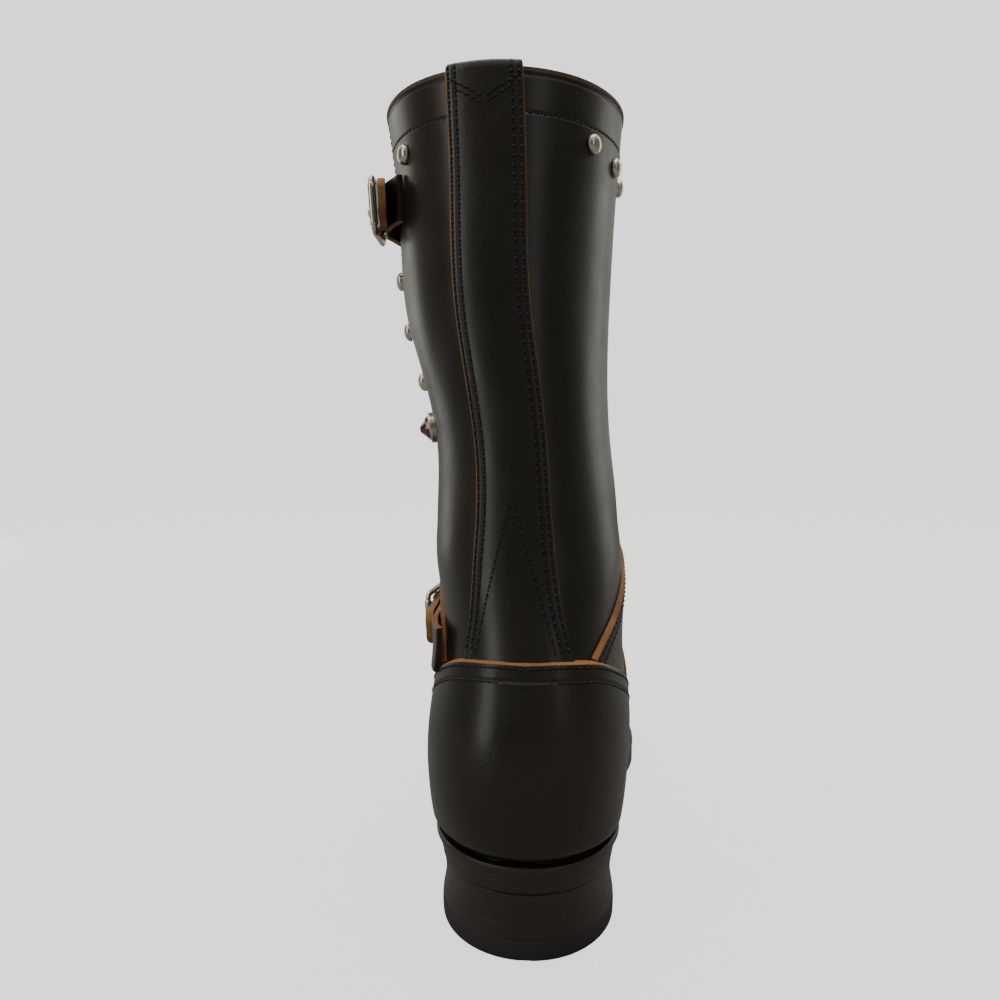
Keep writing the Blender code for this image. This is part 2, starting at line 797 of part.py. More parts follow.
def add_sole_layer(name, rise, thickness, edge_share, finish):
    """Full-length layer that follows the tread from a rise above it."""
    edge = feather_outline(edge_share=edge_share)
    soft = feather_outline(inset=0.0004, edge_share=edge_share)
    chamfer = 0.0005
    loops = [
        at_height(soft, tread_height, rise),
        at_height(edge, tread_height, rise + chamfer),
        at_height(edge, tread_height, rise + thickness - chamfer),
        at_height(soft, tread_height, rise + thickness),
    ]
    return slab(name, loops, finish)


def add_welt(finish):
    """Ring round the whole boot that carries the upper's feather edge."""
    rise = OUTSOLE_THICKNESS + MIDSOLE_THICKNESS + 2 * GAP
    outer = feather_outline(edge_share=1.0)
    inner = feather_outline(inset=WELT_SEAM_WIDTH)
    shape = bmesh.new()
    profile = [(outer, rise), (outer, rise + WELT_THICKNESS)]
    profile += [(inner, rise + WELT_THICKNESS), (inner, rise)]
    rings = [
        [shape.verts.new(p) for p in at_height(loop, tread_height, up)]
        for loop, up in profile
    ]
    count = len(rings[0])
    for low, high in zip(rings, rings[1:] + rings[:1]):
        for i in range(count):
            k = (i + 1) % count
            shape.faces.new((low[i], low[k], high[k], high[i]))
    bmesh.ops.recalc_face_normals(shape, faces=shape.faces)
    mesh = bpy.data.meshes.new("welt")
    shape.to_mesh(mesh)
    shape.free()
    return add_object("welt", mesh, finish)


def heel_loop(share):
    """Outline of the heel block at a share of its height, with a straight breast."""
    loop = feather_outline(edge_share=1.0)
    side = spline(HEEL_SIDE, 1, share) * WELT_REACH
    back = spline(HEEL_SIDE, 2, share) * WELT_REACH
    breast = along(0) - WELT_REACH * EDGE[0][1] + HEEL_LENGTH - 0.003 * (1 - share)
    medial = loop[:SOLE_STATIONS]
    lateral = loop[SOLE_STATIONS:][::-1]
    count = int((medial[:, 1] < breast - 0.001).sum())
    start = medial[:, 1].min()
    shrink = 1 - side / (SEAT_WIDTH / 2 + WELT_REACH * EDGE[0][1])
    sides = []
    for points in (medial[:count], lateral[:count]):
        moved = start + back + (points[:, 1] - start) * (breast - start - back) / (breast - start)
        line = [(x * shrink, y) for x, y in zip(points[:, 0], moved)]
        line.append((line[-1][0], breast))
        sides.append(line)
    return sides[0] + sides[1][::-1]


def add_heel(stack_finish, cap_finish):
    """Rubber cap on the floor and leather lifts above it."""
    total = HEEL_HEIGHT
    pieces = [("heel_cap", 0.0, CAP_THICKNESS, cap_finish)]
    for i in range(LIFT_COUNT):
        low = CAP_THICKNESS + GAP + i * (LIFT_THICKNESS + GAP)
        pieces.append((f"heel_lift_{i + 1}", low, low + LIFT_THICKNESS, stack_finish))
    for name, low, high, finish in pieces:
        levels = [low, (low + high) / 2, high]
        loops = [[(x, y, z) for x, y in heel_loop(z / total)] for z in levels]
        slab(name, loops, finish)


def add_insole(finish):
    """Board inside the upper, on the welt's seam."""
    edge = feather_outline(inset=LEATHER + 0.0015)
    rise = SOLE_BUILD
    loops = [
        at_height(edge, tread_height, rise),
        at_height(edge, tread_height, rise + INSOLE_THICKNESS),
    ]
    return slab("insole", loops, finish)


def add_upper(finish):
    """Hollow upper, open at the collar and under the foot."""
    v = np.arange(len(RUNGS), dtype=float)[:, None]
    u = np.linspace(0, 1, COLUMNS + 1)[None, :]
    return walled("upper", upper_point(v, u), -LEATHER, finish)


def edge_line(table):
    """Rung and share of each row of an edge given in side view."""
    rows = np.array([place(y, z) for y, z in table])
    return rows[np.argsort(rows[:, 0])]


def own_rows(first, last, *edges):
    """The upper's own rungs between two rungs, both included, and each rung where an
    edge (rungs, shares) crosses one of the upper's own columns."""
    rows = [first, last] + list(range(math.ceil(first + 0.1), math.floor(last - 0.1) + 1))
    columns = np.linspace(0, 0.5, COLUMNS // 2 + 1)
    fine = np.linspace(first, last, 600)
    for rungs, shares in edges:
        u = u_at(fine, np.clip(np.interp(fine, rungs, shares), 0, 1), -1)
        for column in columns[1:-1]:
            for k in np.nonzero((u[:-1] - column) * (u[1:] - column) < 0)[0]:
                if min(abs(fine[k] - row) for row in rows) > 0.06:
                    rows.append(float(fine[k]))
    return np.array(sorted(rows))


def add_counter(finish):
    """Counter over the heel, from the welt up to its edge on both sides."""
    line = edge_line(COUNTER_EDGE)
    line[0, 1] = line[-1, 1] = 0.0
    rungs = own_rows(line[0, 0], line[-1, 0], line.T)
    edge = u_at(rungs, np.interp(rungs, line[:, 0], line[:, 1]), -1)
    columns = np.linspace(0, 0.5, COLUMNS // 2 + 1)
    pairs = []
    for side in (-1, 1):
        u = np.minimum(columns[None, :], edge[:, None])
        v = np.broadcast_to(rungs[:, None], u.shape)
        if side > 0:
            v, u = v[:, ::-1], 1 - u[:, ::-1]
        pairs.append(skins(v, u, COUNTER_GAP, COUNTER_GAP + COUNTER_THICKNESS))
    return two_skins("counter", pairs, finish)


def add_vamp(finish):
    """Vamp over the toe and the instep, with two wings back to the counter."""
    counter = edge_line(COUNTER_EDGE)
    top = edge_line(VAMP_EDGE)
    counter[0] = counter[0, 0] - 0.05, 0.0
    first, last, end = counter[0, 0], top[0, 0], top[-1, 0]
    heights = (LAP_GAP, LAP_GAP + VAMP_THICKNESS)

    def past_counter(v):
        share = np.interp(v, counter[:, 0], counter[:, 1])
        base_y, base_z, ridge_y, ridge_z = rung_ends(v)
        length = np.hypot(ridge_y - base_y, ridge_z - base_z)
        return np.where(v > first + 1e-6, share + LAP_STEP / length, 0.0)

    line = np.linspace(first, end, 120)
    line = np.stack([line, past_counter(line)])
    whole = np.linspace(0, 1, COLUMNS + 1)
    rungs = own_rows(0.0, first)
    v, u = np.broadcast_arrays(rungs[:, None], whole[None, :])
    pairs = [skins(v, u, *heights)]
    rungs = own_rows(first, last, line)
    low = u_at(rungs, past_counter(rungs), -1)[:, None]
    u = np.clip(whole[None, :], low, 1 - low)
    pairs.append(skins(np.broadcast_to(rungs[:, None], u.shape), u, *heights))
    half = np.linspace(0, 0.5, COLUMNS // 2 + 1)
    for side, table in ((-1, VAMP_EDGE_OUTER), (1, VAMP_EDGE)):
        top = edge_line(table)
        rungs = own_rows(last, top[-1, 0], line, top.T)
        bottom = past_counter(rungs)
        upto = np.maximum(np.interp(rungs, top[:, 0], top[:, 1]), bottom)
        upto[0] = 1.0
        upto[-1] = bottom[-1]
        low = u_at(rungs, bottom, -1)[:, None]
        high = np.maximum(u_at(rungs, upto, -1)[:, None], low)
        u = np.clip(half[None, :], low, high)
        v = np.broadcast_to(rungs[:, None], u.shape)
        if side > 0:
            v, u = v[:, ::-1], 1 - u[:, ::-1]
        pairs.append(skins(v, u, *heights))
    return two_skins("vamp", pairs, finish)


def add_back_stay(finish):
    """Strip up the back seam that folds over the collar as a pull tab."""
    heights = np.concatenate([np.linspace(0.1130, 0.165, 5), np.linspace(0.190, 0.318, 5)])
    arcs = np.linspace(1, -1, 7)
    low, high = [], []
    near, far = TAB_GAP, TAB_GAP + STAY_THICKNESS
    for z in list(heights) + [TOP_HEIGHT - 0.0006]:
        half = STAY_WIDTH / 2 * float(spline(STAY_SIDES, 1, z))
        middle = float(spline(STAY_SIDES, 2, z))
        spots = [leg_at(float(a) * half + middle, z) for a in arcs]
        v, u = np.array(spots).T
        low.append(raised(v, u, np.full(len(v), near)))
        high.append(raised(v, u, np.full(len(v), far)))
    out = upper_normal(v, u)
    out[:, 2] = 0
    out /= np.linalg.norm(out, axis=1, keepdims=True)
    rim = raised(v, u, np.full(len(v), -LEATHER / 2))
    rim[:, 2] = TOP_HEIGHT
    up = np.array([0, 0, 1.0])
    for turn in (30, 65, 90, 115, 150, 180):
        c, d = math.cos(math.radians(turn)), math.sin(math.radians(turn))
        for rows, reach in ((low, near), (high, far)):
            rows.append(rim + out * c * (LEATHER / 2 + reach) + up * d * (reach + 0.0003))
    for z in np.linspace(TOP_HEIGHT - 0.004, TOP_HEIGHT - TAB_DEPTH, 5):
        half = STAY_WIDTH / 2 * 0.98
        middle = float(spline(STAY_SIDES, 2, z))
        spots = [leg_at(float(a) * half + middle, z) for a in arcs]
        v, u = np.array(spots).T
        low.append(raised(v, u, np.full(len(v), -LEATHER - near)))
        high.append(raised(v, u, np.full(len(v), -LEATHER - far)))
    return two_skins("back_stay", [(np.array(low), np.array(high))], finish)


def add_band(name, arcs, middle, lifts, thickness, finish, round_start=False):
    """Strap round the leg at one height; its lift is read from a table by arc."""
    low, high = [], []
    for arc in arcs:
        reach = STRAP_WIDTH / 2
        if round_start:
            reach *= float(rounded((abs(arc - arcs[0]) + 0.0007) / (STRAP_WIDTH * 0.42)))
        spots = [leg_at(arc, middle + f * reach) for f in (-1, -0.4, 0.4, 1)]
        v, u = np.array(spots).T
        off = float(spline(lifts, 1, arc))
        low.append(raised(v, u, np.full(4, off)))
        high.append(raised(v, u, np.full(4, off + thickness)))
    return two_skins(name, [(np.array(low), np.array(high))], finish)


def add_course(name, course, width, thickness, finish, count=18, round_end=False):
    """Strap over the form along a course of (rung, u, lift) rows."""
    rows = []
    for forward, up, side, off in course:
        v, share = place(forward, up)
        share = share if side else 1.0
        rows.append((v, float(u_at(v, share, -1 if side <= 0 else 1)), off))
    rows = np.array(rows, float)
    spots = upper_point(rows[:, 0], rows[:, 1])
    run = np.concatenate([[0], np.cumsum(np.linalg.norm(np.diff(spots, axis=0), axis=1))])
    table = [(run[i], *rows[i]) for i in range(len(rows))]
    stations = np.linspace(0, run[-1], count)
    if round_end:
        stations[-2] = run[-1] - 0.0022
        stations[-1] = run[-1] - 0.0002
    v = spline(table, 1, stations)
    u = spline(table, 2, stations)
    off = spline(table, 3, stations)
    centres = upper_point(v, u)
    normals = upper_normal(v, u)
    tangents = np.gradient(centres, axis=0)
    low, high = [], []
    for i in range(count):
        cross = np.cross(normals[i], tangents[i])
        cross /= np.linalg.norm(cross)
        reach = width / 2
        if round_end:
            reach *= float(rounded((run[-1] - stations[i] + 0.0007) / (width * 0.42)))
        row_low, row_high = [], []
        for f in (-1, -0.5, 0, 0.5, 1):
            vv, uu = move_on_form(v[i], u[i], cross * f * reach)
            foot = raised(vv, uu, off[i])
            row_low.append(foot)
            row_high.append(foot + upper_normal(vv, uu) * thickness)
        low.append(np.array(row_low).reshape(-1, 3))
        high.append(np.array(row_high).reshape(-1, 3))
    return two_skins(name, [(np.array(low), np.array(high))], finish)


def add_buckle(prefix, middle, normal, course, cross, tilt, centre_lift, rails, finish):
    """Centre-bar buckle at a point: frame, bar and prong.

    course points from the strap's tip side to its root side; tilt raises the tip side."""
    normal, course, cross = (np.asarray(a, float) for a in (normal, course, cross))
    half = STRAP_WIDTH / 2 + WIRE_RADIUS + 0.0006

    def spot(a, b, c):
        return middle + course * a + cross * b + normal * c

    corner = 0.003
    frame = []
    ends = ((-1, -1), (-1, 1), (1, 1), (1, -1))
    for sa, sb in ends:
        for turn in (0, 45, 90):
            c, d = math.cos(math.radians(turn)), math.sin(math.radians(turn))
            if sa * sb > 0:
                c, d = d, c
            a = sa * (BUCKLE_HALF_LENGTH - corner + corner * c)
            b = sb * (half - corner + corner * d)
            frame.append(spot(a, b, rails - tilt * a / BUCKLE_HALF_LENGTH))
    tube(prefix + "_buckle_frame", frame, WIRE_RADIUS, finish, closed=True)
    inside = half - WIRE_RADIUS - GAP
    bar = [spot(0, b, centre_lift) for b in (-inside, -inside / 3, inside / 3, inside)]
    tube(prefix + "_buckle_bar", bar, WIRE_RADIUS * 0.9, finish)
    return spot


def add_straps(leather, metal):
    """Top strap on the lateral side of the shaft and instep strap over the foot."""
    height = TOP_HEIGHT - TOP_STRAP_DROP
    arcs = np.concatenate([[0.048, 0.0496, 0.0530], np.linspace(0.058, 0.142, 15)])
    add_band("top_strap", arcs, height, TOP_STRAP_LIFT, STRAP_THICKNESS, leather, True)
    arcs = np.linspace(TOP_CHAPE_LIFT[0][0], TOP_CHAPE_LIFT[-1][0], 8)
    add_band("top_chape", arcs, height, TOP_CHAPE_LIFT, CHAPE_THICKNESS, leather)
    v, u = leg_at(TOP_BUCKLE_ARC, height)
    normal = upper_normal(v, u)
    up = np.array([0, 0, 1.0])
    course = np.cross(normal, up)
    course /= np.linalg.norm(course)
    if course[1] < 0:
        course = -course
    cross = np.cross(course, normal)
    middle = upper_point(v, u)
    spot = add_buckle("top", middle, normal, course, cross, 0.0014, 0.0058, 0.0090, metal)
    prong = [spot(0.0, 0, 0.0121), spot(0.006, 0, 0.0117), spot(0.0130, 0, 0.0104)]
    tube("top_buckle_prong", prong, PRONG_RADIUS, metal, ends=0.8)

    add_course("instep_strap", INSTEP_COURSE, STRAP_WIDTH, STRAP_THICKNESS, leather, 26, True)
    add_course("instep_chape", INSTEP_CHAPE, STRAP_WIDTH, CHAPE_THICKNESS, leather, 8)
    v, share = place(*INSTEP_BUCKLE)
    u = float(u_at(v, share, -1))
    middle = upper_point(v, u)
    normal = upper_normal(v, u)
    course = np.array([0.0, 1.0, 0.06])
    course -= normal * np.dot(course, normal)
    course /= np.linalg.norm(course)
    cross = np.cross(course, normal)
    spot = add_buckle("instep", middle, normal, course, cross, 0.0006, 0.0068, 0.0111, metal)
    prong = [spot(0.0, 0, 0.0132), spot(0.006, 0, 0.0132), spot(0.0130, 0, 0.0126)]
    tube("instep_buckle_prong", prong, PRONG_RADIUS, metal, ends=0.8)


def add_studs(metal, stone):
    """Domed studs below the collar and down the lateral side, and the jewel."""
    dome = [(0, 0), (STUD_RADIUS, 0), (STUD_RADIUS, 0.0005)]
    for turn in (32, 62):
        c, d = math.cos(math.radians(turn)), math.sin(math.radians(turn))
        dome.append((STUD_RADIUS * c, 0.0005 + (STUD_HEIGHT - 0.0005) * d))
    dome.append((0, STUD_HEIGHT))
    spots = [
        (arc + i * step, drop) for arc, step, count, drop in STUD_ROWS for i in range(count)
    ]
    for i, (arc, drop) in enumerate(spots):
        v, u = leg_at(arc, TOP_HEIGHT - drop)
        normal = upper_normal(v, u)
        centre = upper_point(v, u) + normal * (GAP + 0.0002)
        turned(f"stud_{i + 1:02d}", dome, centre, normal, metal, 10)
    v, u = leg_at(JEWEL_ARC, TOP_HEIGHT - JEWEL_DROP)
    normal = upper_normal(v, u)
    base = upper_point(v, u) + normal * (GAP + 0.0003)
    ring = [(0, 0), (SETTING_RADIUS, 0), (SETTING_RADIUS, SETTING_RISE * 0.55)]
    ring += [(SETTING_RADIUS * 0.86, SETTING_RISE), (0, SETTING_RISE)]
    turned("jewel_setting", ring, base, normal, metal, 20)
    seat = base + normal * (SETTING_RISE + GAP)
    gem = [(0, 0), (JEWEL_RADIUS, 0), (JEWEL_RADIUS * 0.92, JEWEL_RISE * 0.25)]
    gem += [(JEWEL_RADIUS * 0.55, JEWEL_RISE * 0.7), (0, JEWEL_RISE)]
    turned("jewel", gem, seat, normal, stone, 8)


def main():
    for old in list(bpy.data.objects):
        bpy.data.objects.remove(old, do_unlink=True)
    leather = material("black leather", (0.022, 0.018, 0.015), 0.32)
    edge = material("stacked leather", (0.045, 0.025, 0.020), 0.42)
    rubber = material("rubber", (0.025, 0.024, 0.022), 0.65)
    board = material("insole leather", (0.36, 0.22, 0.11), 0.75)
    metal = material("nickel", (0.62, 0.57, 0.48), 0.28, 1.0)
    stone = material("red stone", (0.10, 0.004, 0.008), 0.12)
    add_upper(leather)
    add_insole(board)
    add_welt(edge)
    rise = OUTSOLE_THICKNESS + GAP
    add_sole_layer("midsole", rise, MIDSOLE_THICKNESS, 0.97, edge)
    add_sole_layer("outsole", 0.0, OUTSOLE_THICKNESS, 0.97, edge)
    add_heel(edge, rubber)
    add_counter(leather)
    add_vamp(leather)
    add_back_stay(leather)
    add_straps(leather, metal)
    add_studs(metal, stone)


if __name__ == "__main__":
    main()
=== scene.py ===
"""The looks of a left engineer boot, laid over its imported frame.

Metres, +Z up, +Y towards the toe, +X towards the inner side of the foot. The leather
pieces are laid on the form that the frame was made on: a ladder of rungs from the base
line to the ridge line, with a half width worked out along each rung. A place on the form
is a rung v and a station u, which runs 0 lateral, 0.5 ridge, 1 medial.
"""

import math

import bmesh
import bpy
import numpy as np
from bpy.props import FloatProperty, FloatVectorProperty, PointerProperty
from mathutils import Matrix, Vector, noise


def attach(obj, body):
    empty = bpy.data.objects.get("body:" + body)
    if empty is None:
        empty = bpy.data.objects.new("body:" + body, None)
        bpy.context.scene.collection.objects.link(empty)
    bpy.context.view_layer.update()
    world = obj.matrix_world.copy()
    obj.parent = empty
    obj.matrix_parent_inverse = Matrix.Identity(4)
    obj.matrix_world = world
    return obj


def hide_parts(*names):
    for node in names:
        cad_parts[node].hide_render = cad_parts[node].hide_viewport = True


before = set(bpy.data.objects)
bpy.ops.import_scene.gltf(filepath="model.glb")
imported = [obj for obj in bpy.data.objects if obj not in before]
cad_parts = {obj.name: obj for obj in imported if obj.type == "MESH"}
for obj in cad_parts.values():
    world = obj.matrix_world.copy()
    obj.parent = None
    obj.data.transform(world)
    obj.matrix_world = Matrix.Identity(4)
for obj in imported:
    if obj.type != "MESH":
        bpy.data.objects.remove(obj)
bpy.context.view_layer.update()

bl_info = {
    "name": "Engineer Boot",
    "version": (1, 0, 0),
    "blender": (4, 5, 0),
    "location": "View3D > Sidebar > Boot",
    "description": "Builds the leather, thread, metal and sole of an engineer boot",
    "category": "Object",
}

# The last and the upper, as in the frame.
LAST_LENGTH = 0.288
SEAT_BACK = 0.039
SEAT_WIDTH = 0.070
BALL_WIDTH = 0.096
HEEL_ROUND = 0.044
TOE_ROUND = 0.070
TOE_SPRING = 0.010
THROAT_HEIGHT = 0.155
TOP_HEIGHT = 0.3235
HEEL_CUP_WIDTH = 0.0735
ANKLE_WIDTH = 0.0775
COLLAR_WIDTH = 0.1005
COLLAR_LEAN = 0.0125
SIDE_SWELL = 0.05

# The sole, from the floor up.
GAP = 0.0003
FEATHER_GAP = 0.0007
HEEL_LENGTH = 0.073
CAP_THICKNESS = 0.0075
LIFT_COUNT = 3
LIFT_THICKNESS = 0.0058
OUTSOLE_THICKNESS = 0.0045
MIDSOLE_THICKNESS = 0.0033
WELT_THICKNESS = 0.0029
WELT_REACH = 0.0055
WELT_SEAM_WIDTH = 0.010
HEEL_HEIGHT = CAP_THICKNESS + LIFT_COUNT * (LIFT_THICKNESS + GAP)
SOLE_BUILD = OUTSOLE_THICKNESS + MIDSOLE_THICKNESS + WELT_THICKNESS + 2 * GAP + FEATHER_GAP
SEAT_HEIGHT = HEEL_HEIGHT + GAP + SOLE_BUILD

# Straps and trimmings, by arc from the back seam and height.
STRAP_WIDTH = 0.0180
TOP_STRAP_HEIGHT = 0.2845
STUDS = (
    # arc from the back seam, outer side plus, and height
    (-0.0425, 0.3012), (-0.0650, 0.2983), (-0.0875, 0.2965), (-0.1090, 0.2965),
    (-0.1305, 0.2965), (-0.1520, 0.2965), (0.0455, 0.3000), (0.1120, 0.2980),
    (0.1335, 0.2980), (0.1550, 0.2980), (0.0715, 0.256), (0.0700, 0.235),
    (0.0680, 0.214),
)
JEWEL_PLACE = (0.0640, 0.195)

# Half width of the feather edge, from the seat's (0) to the ball's (1) half width.
PLAN = (
    # along, medial, lateral
    (0.00, -0.13, 0.02),
    (0.20, -0.20, 0.03),
    (0.32, -0.40, 0.10),
    (0.43, -0.58, 0.28),
    (0.54, -0.10, 0.60),
    (0.64, 0.68, 0.92),
    (0.72, 1.00, 1.04),
    (0.80, 0.98, 0.99),
    (0.90, 0.86, 0.87),
    (1.00, 0.76, 0.77),
)

# The rungs: base on the feather edge (minus) or up the back seam, then the ridge.
RUNGS = (
    # base, ridge along, ridge height, dome, power
    (-1.000, 1.000, 0.142, 1.00, 2.1),
    (-0.993, 1.013, 0.200, 1.00, 2.1),
    (-0.972, 1.013, 0.265, 1.00, 2.1),
    (-0.938, 0.996, 0.332, 1.00, 2.1),
    (-0.889, 0.958, 0.387, 0.98, 2.2),
    (-0.826, 0.903, 0.426, 0.95, 2.2),
    (-0.750, 0.833, 0.452, 0.93, 2.2),
    (-0.667, 0.760, 0.484, 0.90, 2.1),
    (-0.583, 0.691, 0.542, 0.86, 2.0),
    (-0.500, 0.635, 0.613, 0.80, 1.9),
    (-0.417, 0.594, 0.677, 0.74, 1.9),
    (-0.333, 0.559, 0.736, 0.68, 1.9),
    (-0.257, 0.533, 0.787, 0.62, 1.9),
    (-0.181, 0.512, 0.836, 0.56, 1.9),
    (-0.111, 0.497, 0.881, 0.51, 1.9),
    (-0.056, 0.484, 0.923, 0.47, 1.9),
    (-0.021, 0.476, 0.961, 0.44, 1.9),
    (0.000, 0.469, 1.000, 0.43, 1.9),
    (0.096, 0.463, 1.038, 0.43, 1.9),
    (0.199, 0.458, 1.079, 0.43, 2.0),
    (0.320, 0.455, 1.123, 0.44, 2.0),
    (0.457, 0.452, 1.170, 0.45, 2.0),
    (0.612, 0.451, 1.222, 0.46, 2.0),
    (0.785, 0.451, 1.281, 0.48, 2.0),
    (0.957, 0.453, 1.345, 0.49, 2.0),
    (1.094, 0.456, 1.415, 0.50, 2.0),
    (1.222, 0.460, 1.491, 0.50, 2.0),
    (1.357, 0.465, 1.573, 0.50, 2.0),
    (1.497, 0.471, 1.661, 0.50, 2.0),
    (1.643, 0.478, 1.754, 0.50, 2.0),
    (1.819, 0.486, 1.871, 0.50, 2.0),
    (2.000, 0.493, 2.000, 0.50, 2.0),
)
RUNG_ROWS = tuple((i, *row) for i, row in enumerate(RUNGS))
HEEL_RUNG = 17.0
TOP_RUNG = float(len(RUNGS) - 1)

BACK_LINE = (
    # height, share of the last's length
    (0.000, 0.000),
    (0.096, -0.012),
    (0.199, -0.018),
    (0.320, -0.018),
    (0.457, -0.009),
    (0.612, 0.009),
    (0.785, 0.027),
    (0.957, 0.039),
    (1.094, 0.046),
    (1.222, 0.050),
    (1.497, 0.055),
    (1.819, 0.060),
    (2.000, 0.062),
)

LEG = (
    # height, half width, lean share, back rounding
    (0.000, 1.000 * SEAT_WIDTH / 2, 0.00, 0.153),
    (0.130, 0.980 * HEEL_CUP_WIDTH / 2, 0.08, 0.155),
    (0.345, 1.000 * HEEL_CUP_WIDTH / 2, 0.04, 0.160),
    (0.620, 0.950 * HEEL_CUP_WIDTH / 2, 0.00, 0.170),
    (0.900, 0.995 * ANKLE_WIDTH / 2, 0.16, 0.185),
    (1.220, 0.946 * ANKLE_WIDTH / 2, 0.39, 0.195),
    (1.500, 0.843 * COLLAR_WIDTH / 2, 0.88, 0.205),
    (1.780, 0.909 * COLLAR_WIDTH / 2, 0.97, 0.212),
    (2.000, 0.985 * COLLAR_WIDTH / 2, 1.05, 0.215),
)

HEEL_SIDE = (
    # height, side inset, back inset, share of the welt's reach
    (0.00, 0.42, 0.86),
    (0.24, 0.40, 0.80),
    (0.62, 0.66, 0.74),
    (1.00, 0.52, 0.40),
)

EDGE = (
    # along, share of the welt's reach
    (0.00, 0.52),
    (0.22, 0.50),
    (0.38, 0.42),
    (0.52, 0.72),
    (0.70, 0.95),
    (1.00, 1.00),
)

# Edges of the overlays in side view.
COUNTER_EDGE = (
    # forward, up
    (0.052, 0.0405),
    (0.046, 0.055),
    (0.034, 0.072),
    (0.016, 0.088),
    (-0.004, 0.0995),
    (-0.014, 0.1045),
    (-0.022, 0.1083),
    (-0.030, 0.1105),
    (-0.0357, 0.1115),
)
VAMP_EDGE = (
    # forward, up
    (0.0961, 0.1549),
    (0.080, 0.1545),
    (0.060, 0.150),
    (0.034, 0.1405),
    (0.010, 0.1305),
    (-0.010, 0.1197),
    (-0.0185, 0.1141),
    (-0.0240, 0.1097),
)
VAMP_EDGE_OUTER = (
    # forward, up
    (0.0961, 0.1549),
    (0.080, 0.1545),
    (0.060, 0.1495),
    (0.040, 0.1405),
    (0.022, 0.1290),
    (0.006, 0.1163),
    (-0.0040, 0.1084),
    (-0.0095, 0.1036),
)
STAY_SIDES = (
    # height, share of the stay's width, middle as an arc from the back seam
    (0.104, 1.66, 0.0046),
    (0.111, 1.56, 0.0044),
    (0.124, 1.32, 0.0041),
    (0.140, 1.15, 0.0035),
    (0.165, 1.00, 0.0028),
    (0.205, 0.98, 0.0024),
    (0.260, 1.00, 0.0029),
    (0.325, 1.02, 0.0037),
)

TOP_STRAP_LIFT = (
    # arc, off the shaft
    (0.0490, 0.0080),
    (0.0530, 0.0066),
    (0.0575, 0.0058),
    (0.0630, 0.0066),
    (0.0690, 0.0076),
    (0.0750, 0.0056),
    (0.0810, 0.0034),
    (0.0900, 0.0020),
    (0.1040, 0.0014),
    (0.1500, 0.0014),
)
TOP_CHAPE_LIFT = (
    # arc, off the shaft
    (0.0490, 0.0004),
    (0.0540, 0.0014),
    (0.0590, 0.0028),
    (0.0664, 0.0042),
)
INSTEP_COURSE = (
    # forward, up, side (1 medial, 0 ridge, -1 lateral), off the upper
    (0.052, 0.051, 1, 0.0028),
    (0.063, 0.068, 1, 0.0028),
    (0.079, 0.090, 1, 0.0028),
    (0.098, 0.112, 1, 0.0028),
    (0.114, 0.126, 0, 0.0029),
    (0.105, 0.1215, -1, 0.0030),
    (0.090, 0.1165, -1, 0.0032),
    (0.0745, 0.1135, -1, 0.0035),
    (0.062, 0.112, -1, 0.0054),
    (0.0515, 0.111, -1, 0.0086),
    (0.042, 0.1105, -1, 0.0072),
    (0.032, 0.110, -1, 0.0066),
    (0.022, 0.1095, -1, 0.0076),
)
INSTEP_CHAPE = (
    # forward, up, side, off the upper
    (-0.010, 0.108, -1, 0.0030),
    (0.010, 0.109, -1, 0.0030),
    (0.030, 0.110, -1, 0.0030),
    (0.0482, 0.111, -1, 0.0046),
)
INSTEP_BUCKLE = (0.0515, 0.111)

# Creases and hollows pressed into the leather.
CREASES = (
    # from, to, width, depth
    ((0.030, 0.062, 0.168), (-0.014, 0.089, 0.163), 0.0050, 0.0009),
    ((-0.014, 0.089, 0.163), (-0.044, 0.058, 0.172), 0.0050, 0.0009),
    ((0.034, 0.048, 0.186), (-0.010, 0.090, 0.183), 0.0070, 0.0007),
    ((-0.046, 0.044, 0.194), (-0.010, 0.090, 0.183), 0.0070, 0.0006),
    ((0.024, 0.104, 0.131), (-0.026, 0.103, 0.132), 0.0060, 0.0006),
    ((0.036, 0.150, 0.047), (0.000, 0.160, 0.078), 0.0055, 0.0005),
    ((-0.040, 0.152, 0.047), (0.000, 0.160, 0.078), 0.0055, 0.0005),
    ((0.040, 0.020, 0.150), (0.036, 0.052, 0.176), 0.0080, 0.0006),
    ((-0.046, 0.020, 0.152), (-0.044, 0.050, 0.176), 0.0080, 0.0006),
    ((-0.058, 0.020, 0.262), (-0.055, 0.018, 0.228), 0.0110, -0.0005),
    ((-0.042, -0.012, 0.286), (-0.036, -0.014, 0.214), 0.0090, 0.0004),
)

# The camera stands where the photograph's did, and turns to the one boot.
CAMERA_PLACE = (0.015, -0.339, 0.193)
CAMERA_LENS = 31.14
CAMERA_DOWN = 4.5
CAMERA_LEFT = 4.6

_bends = {}


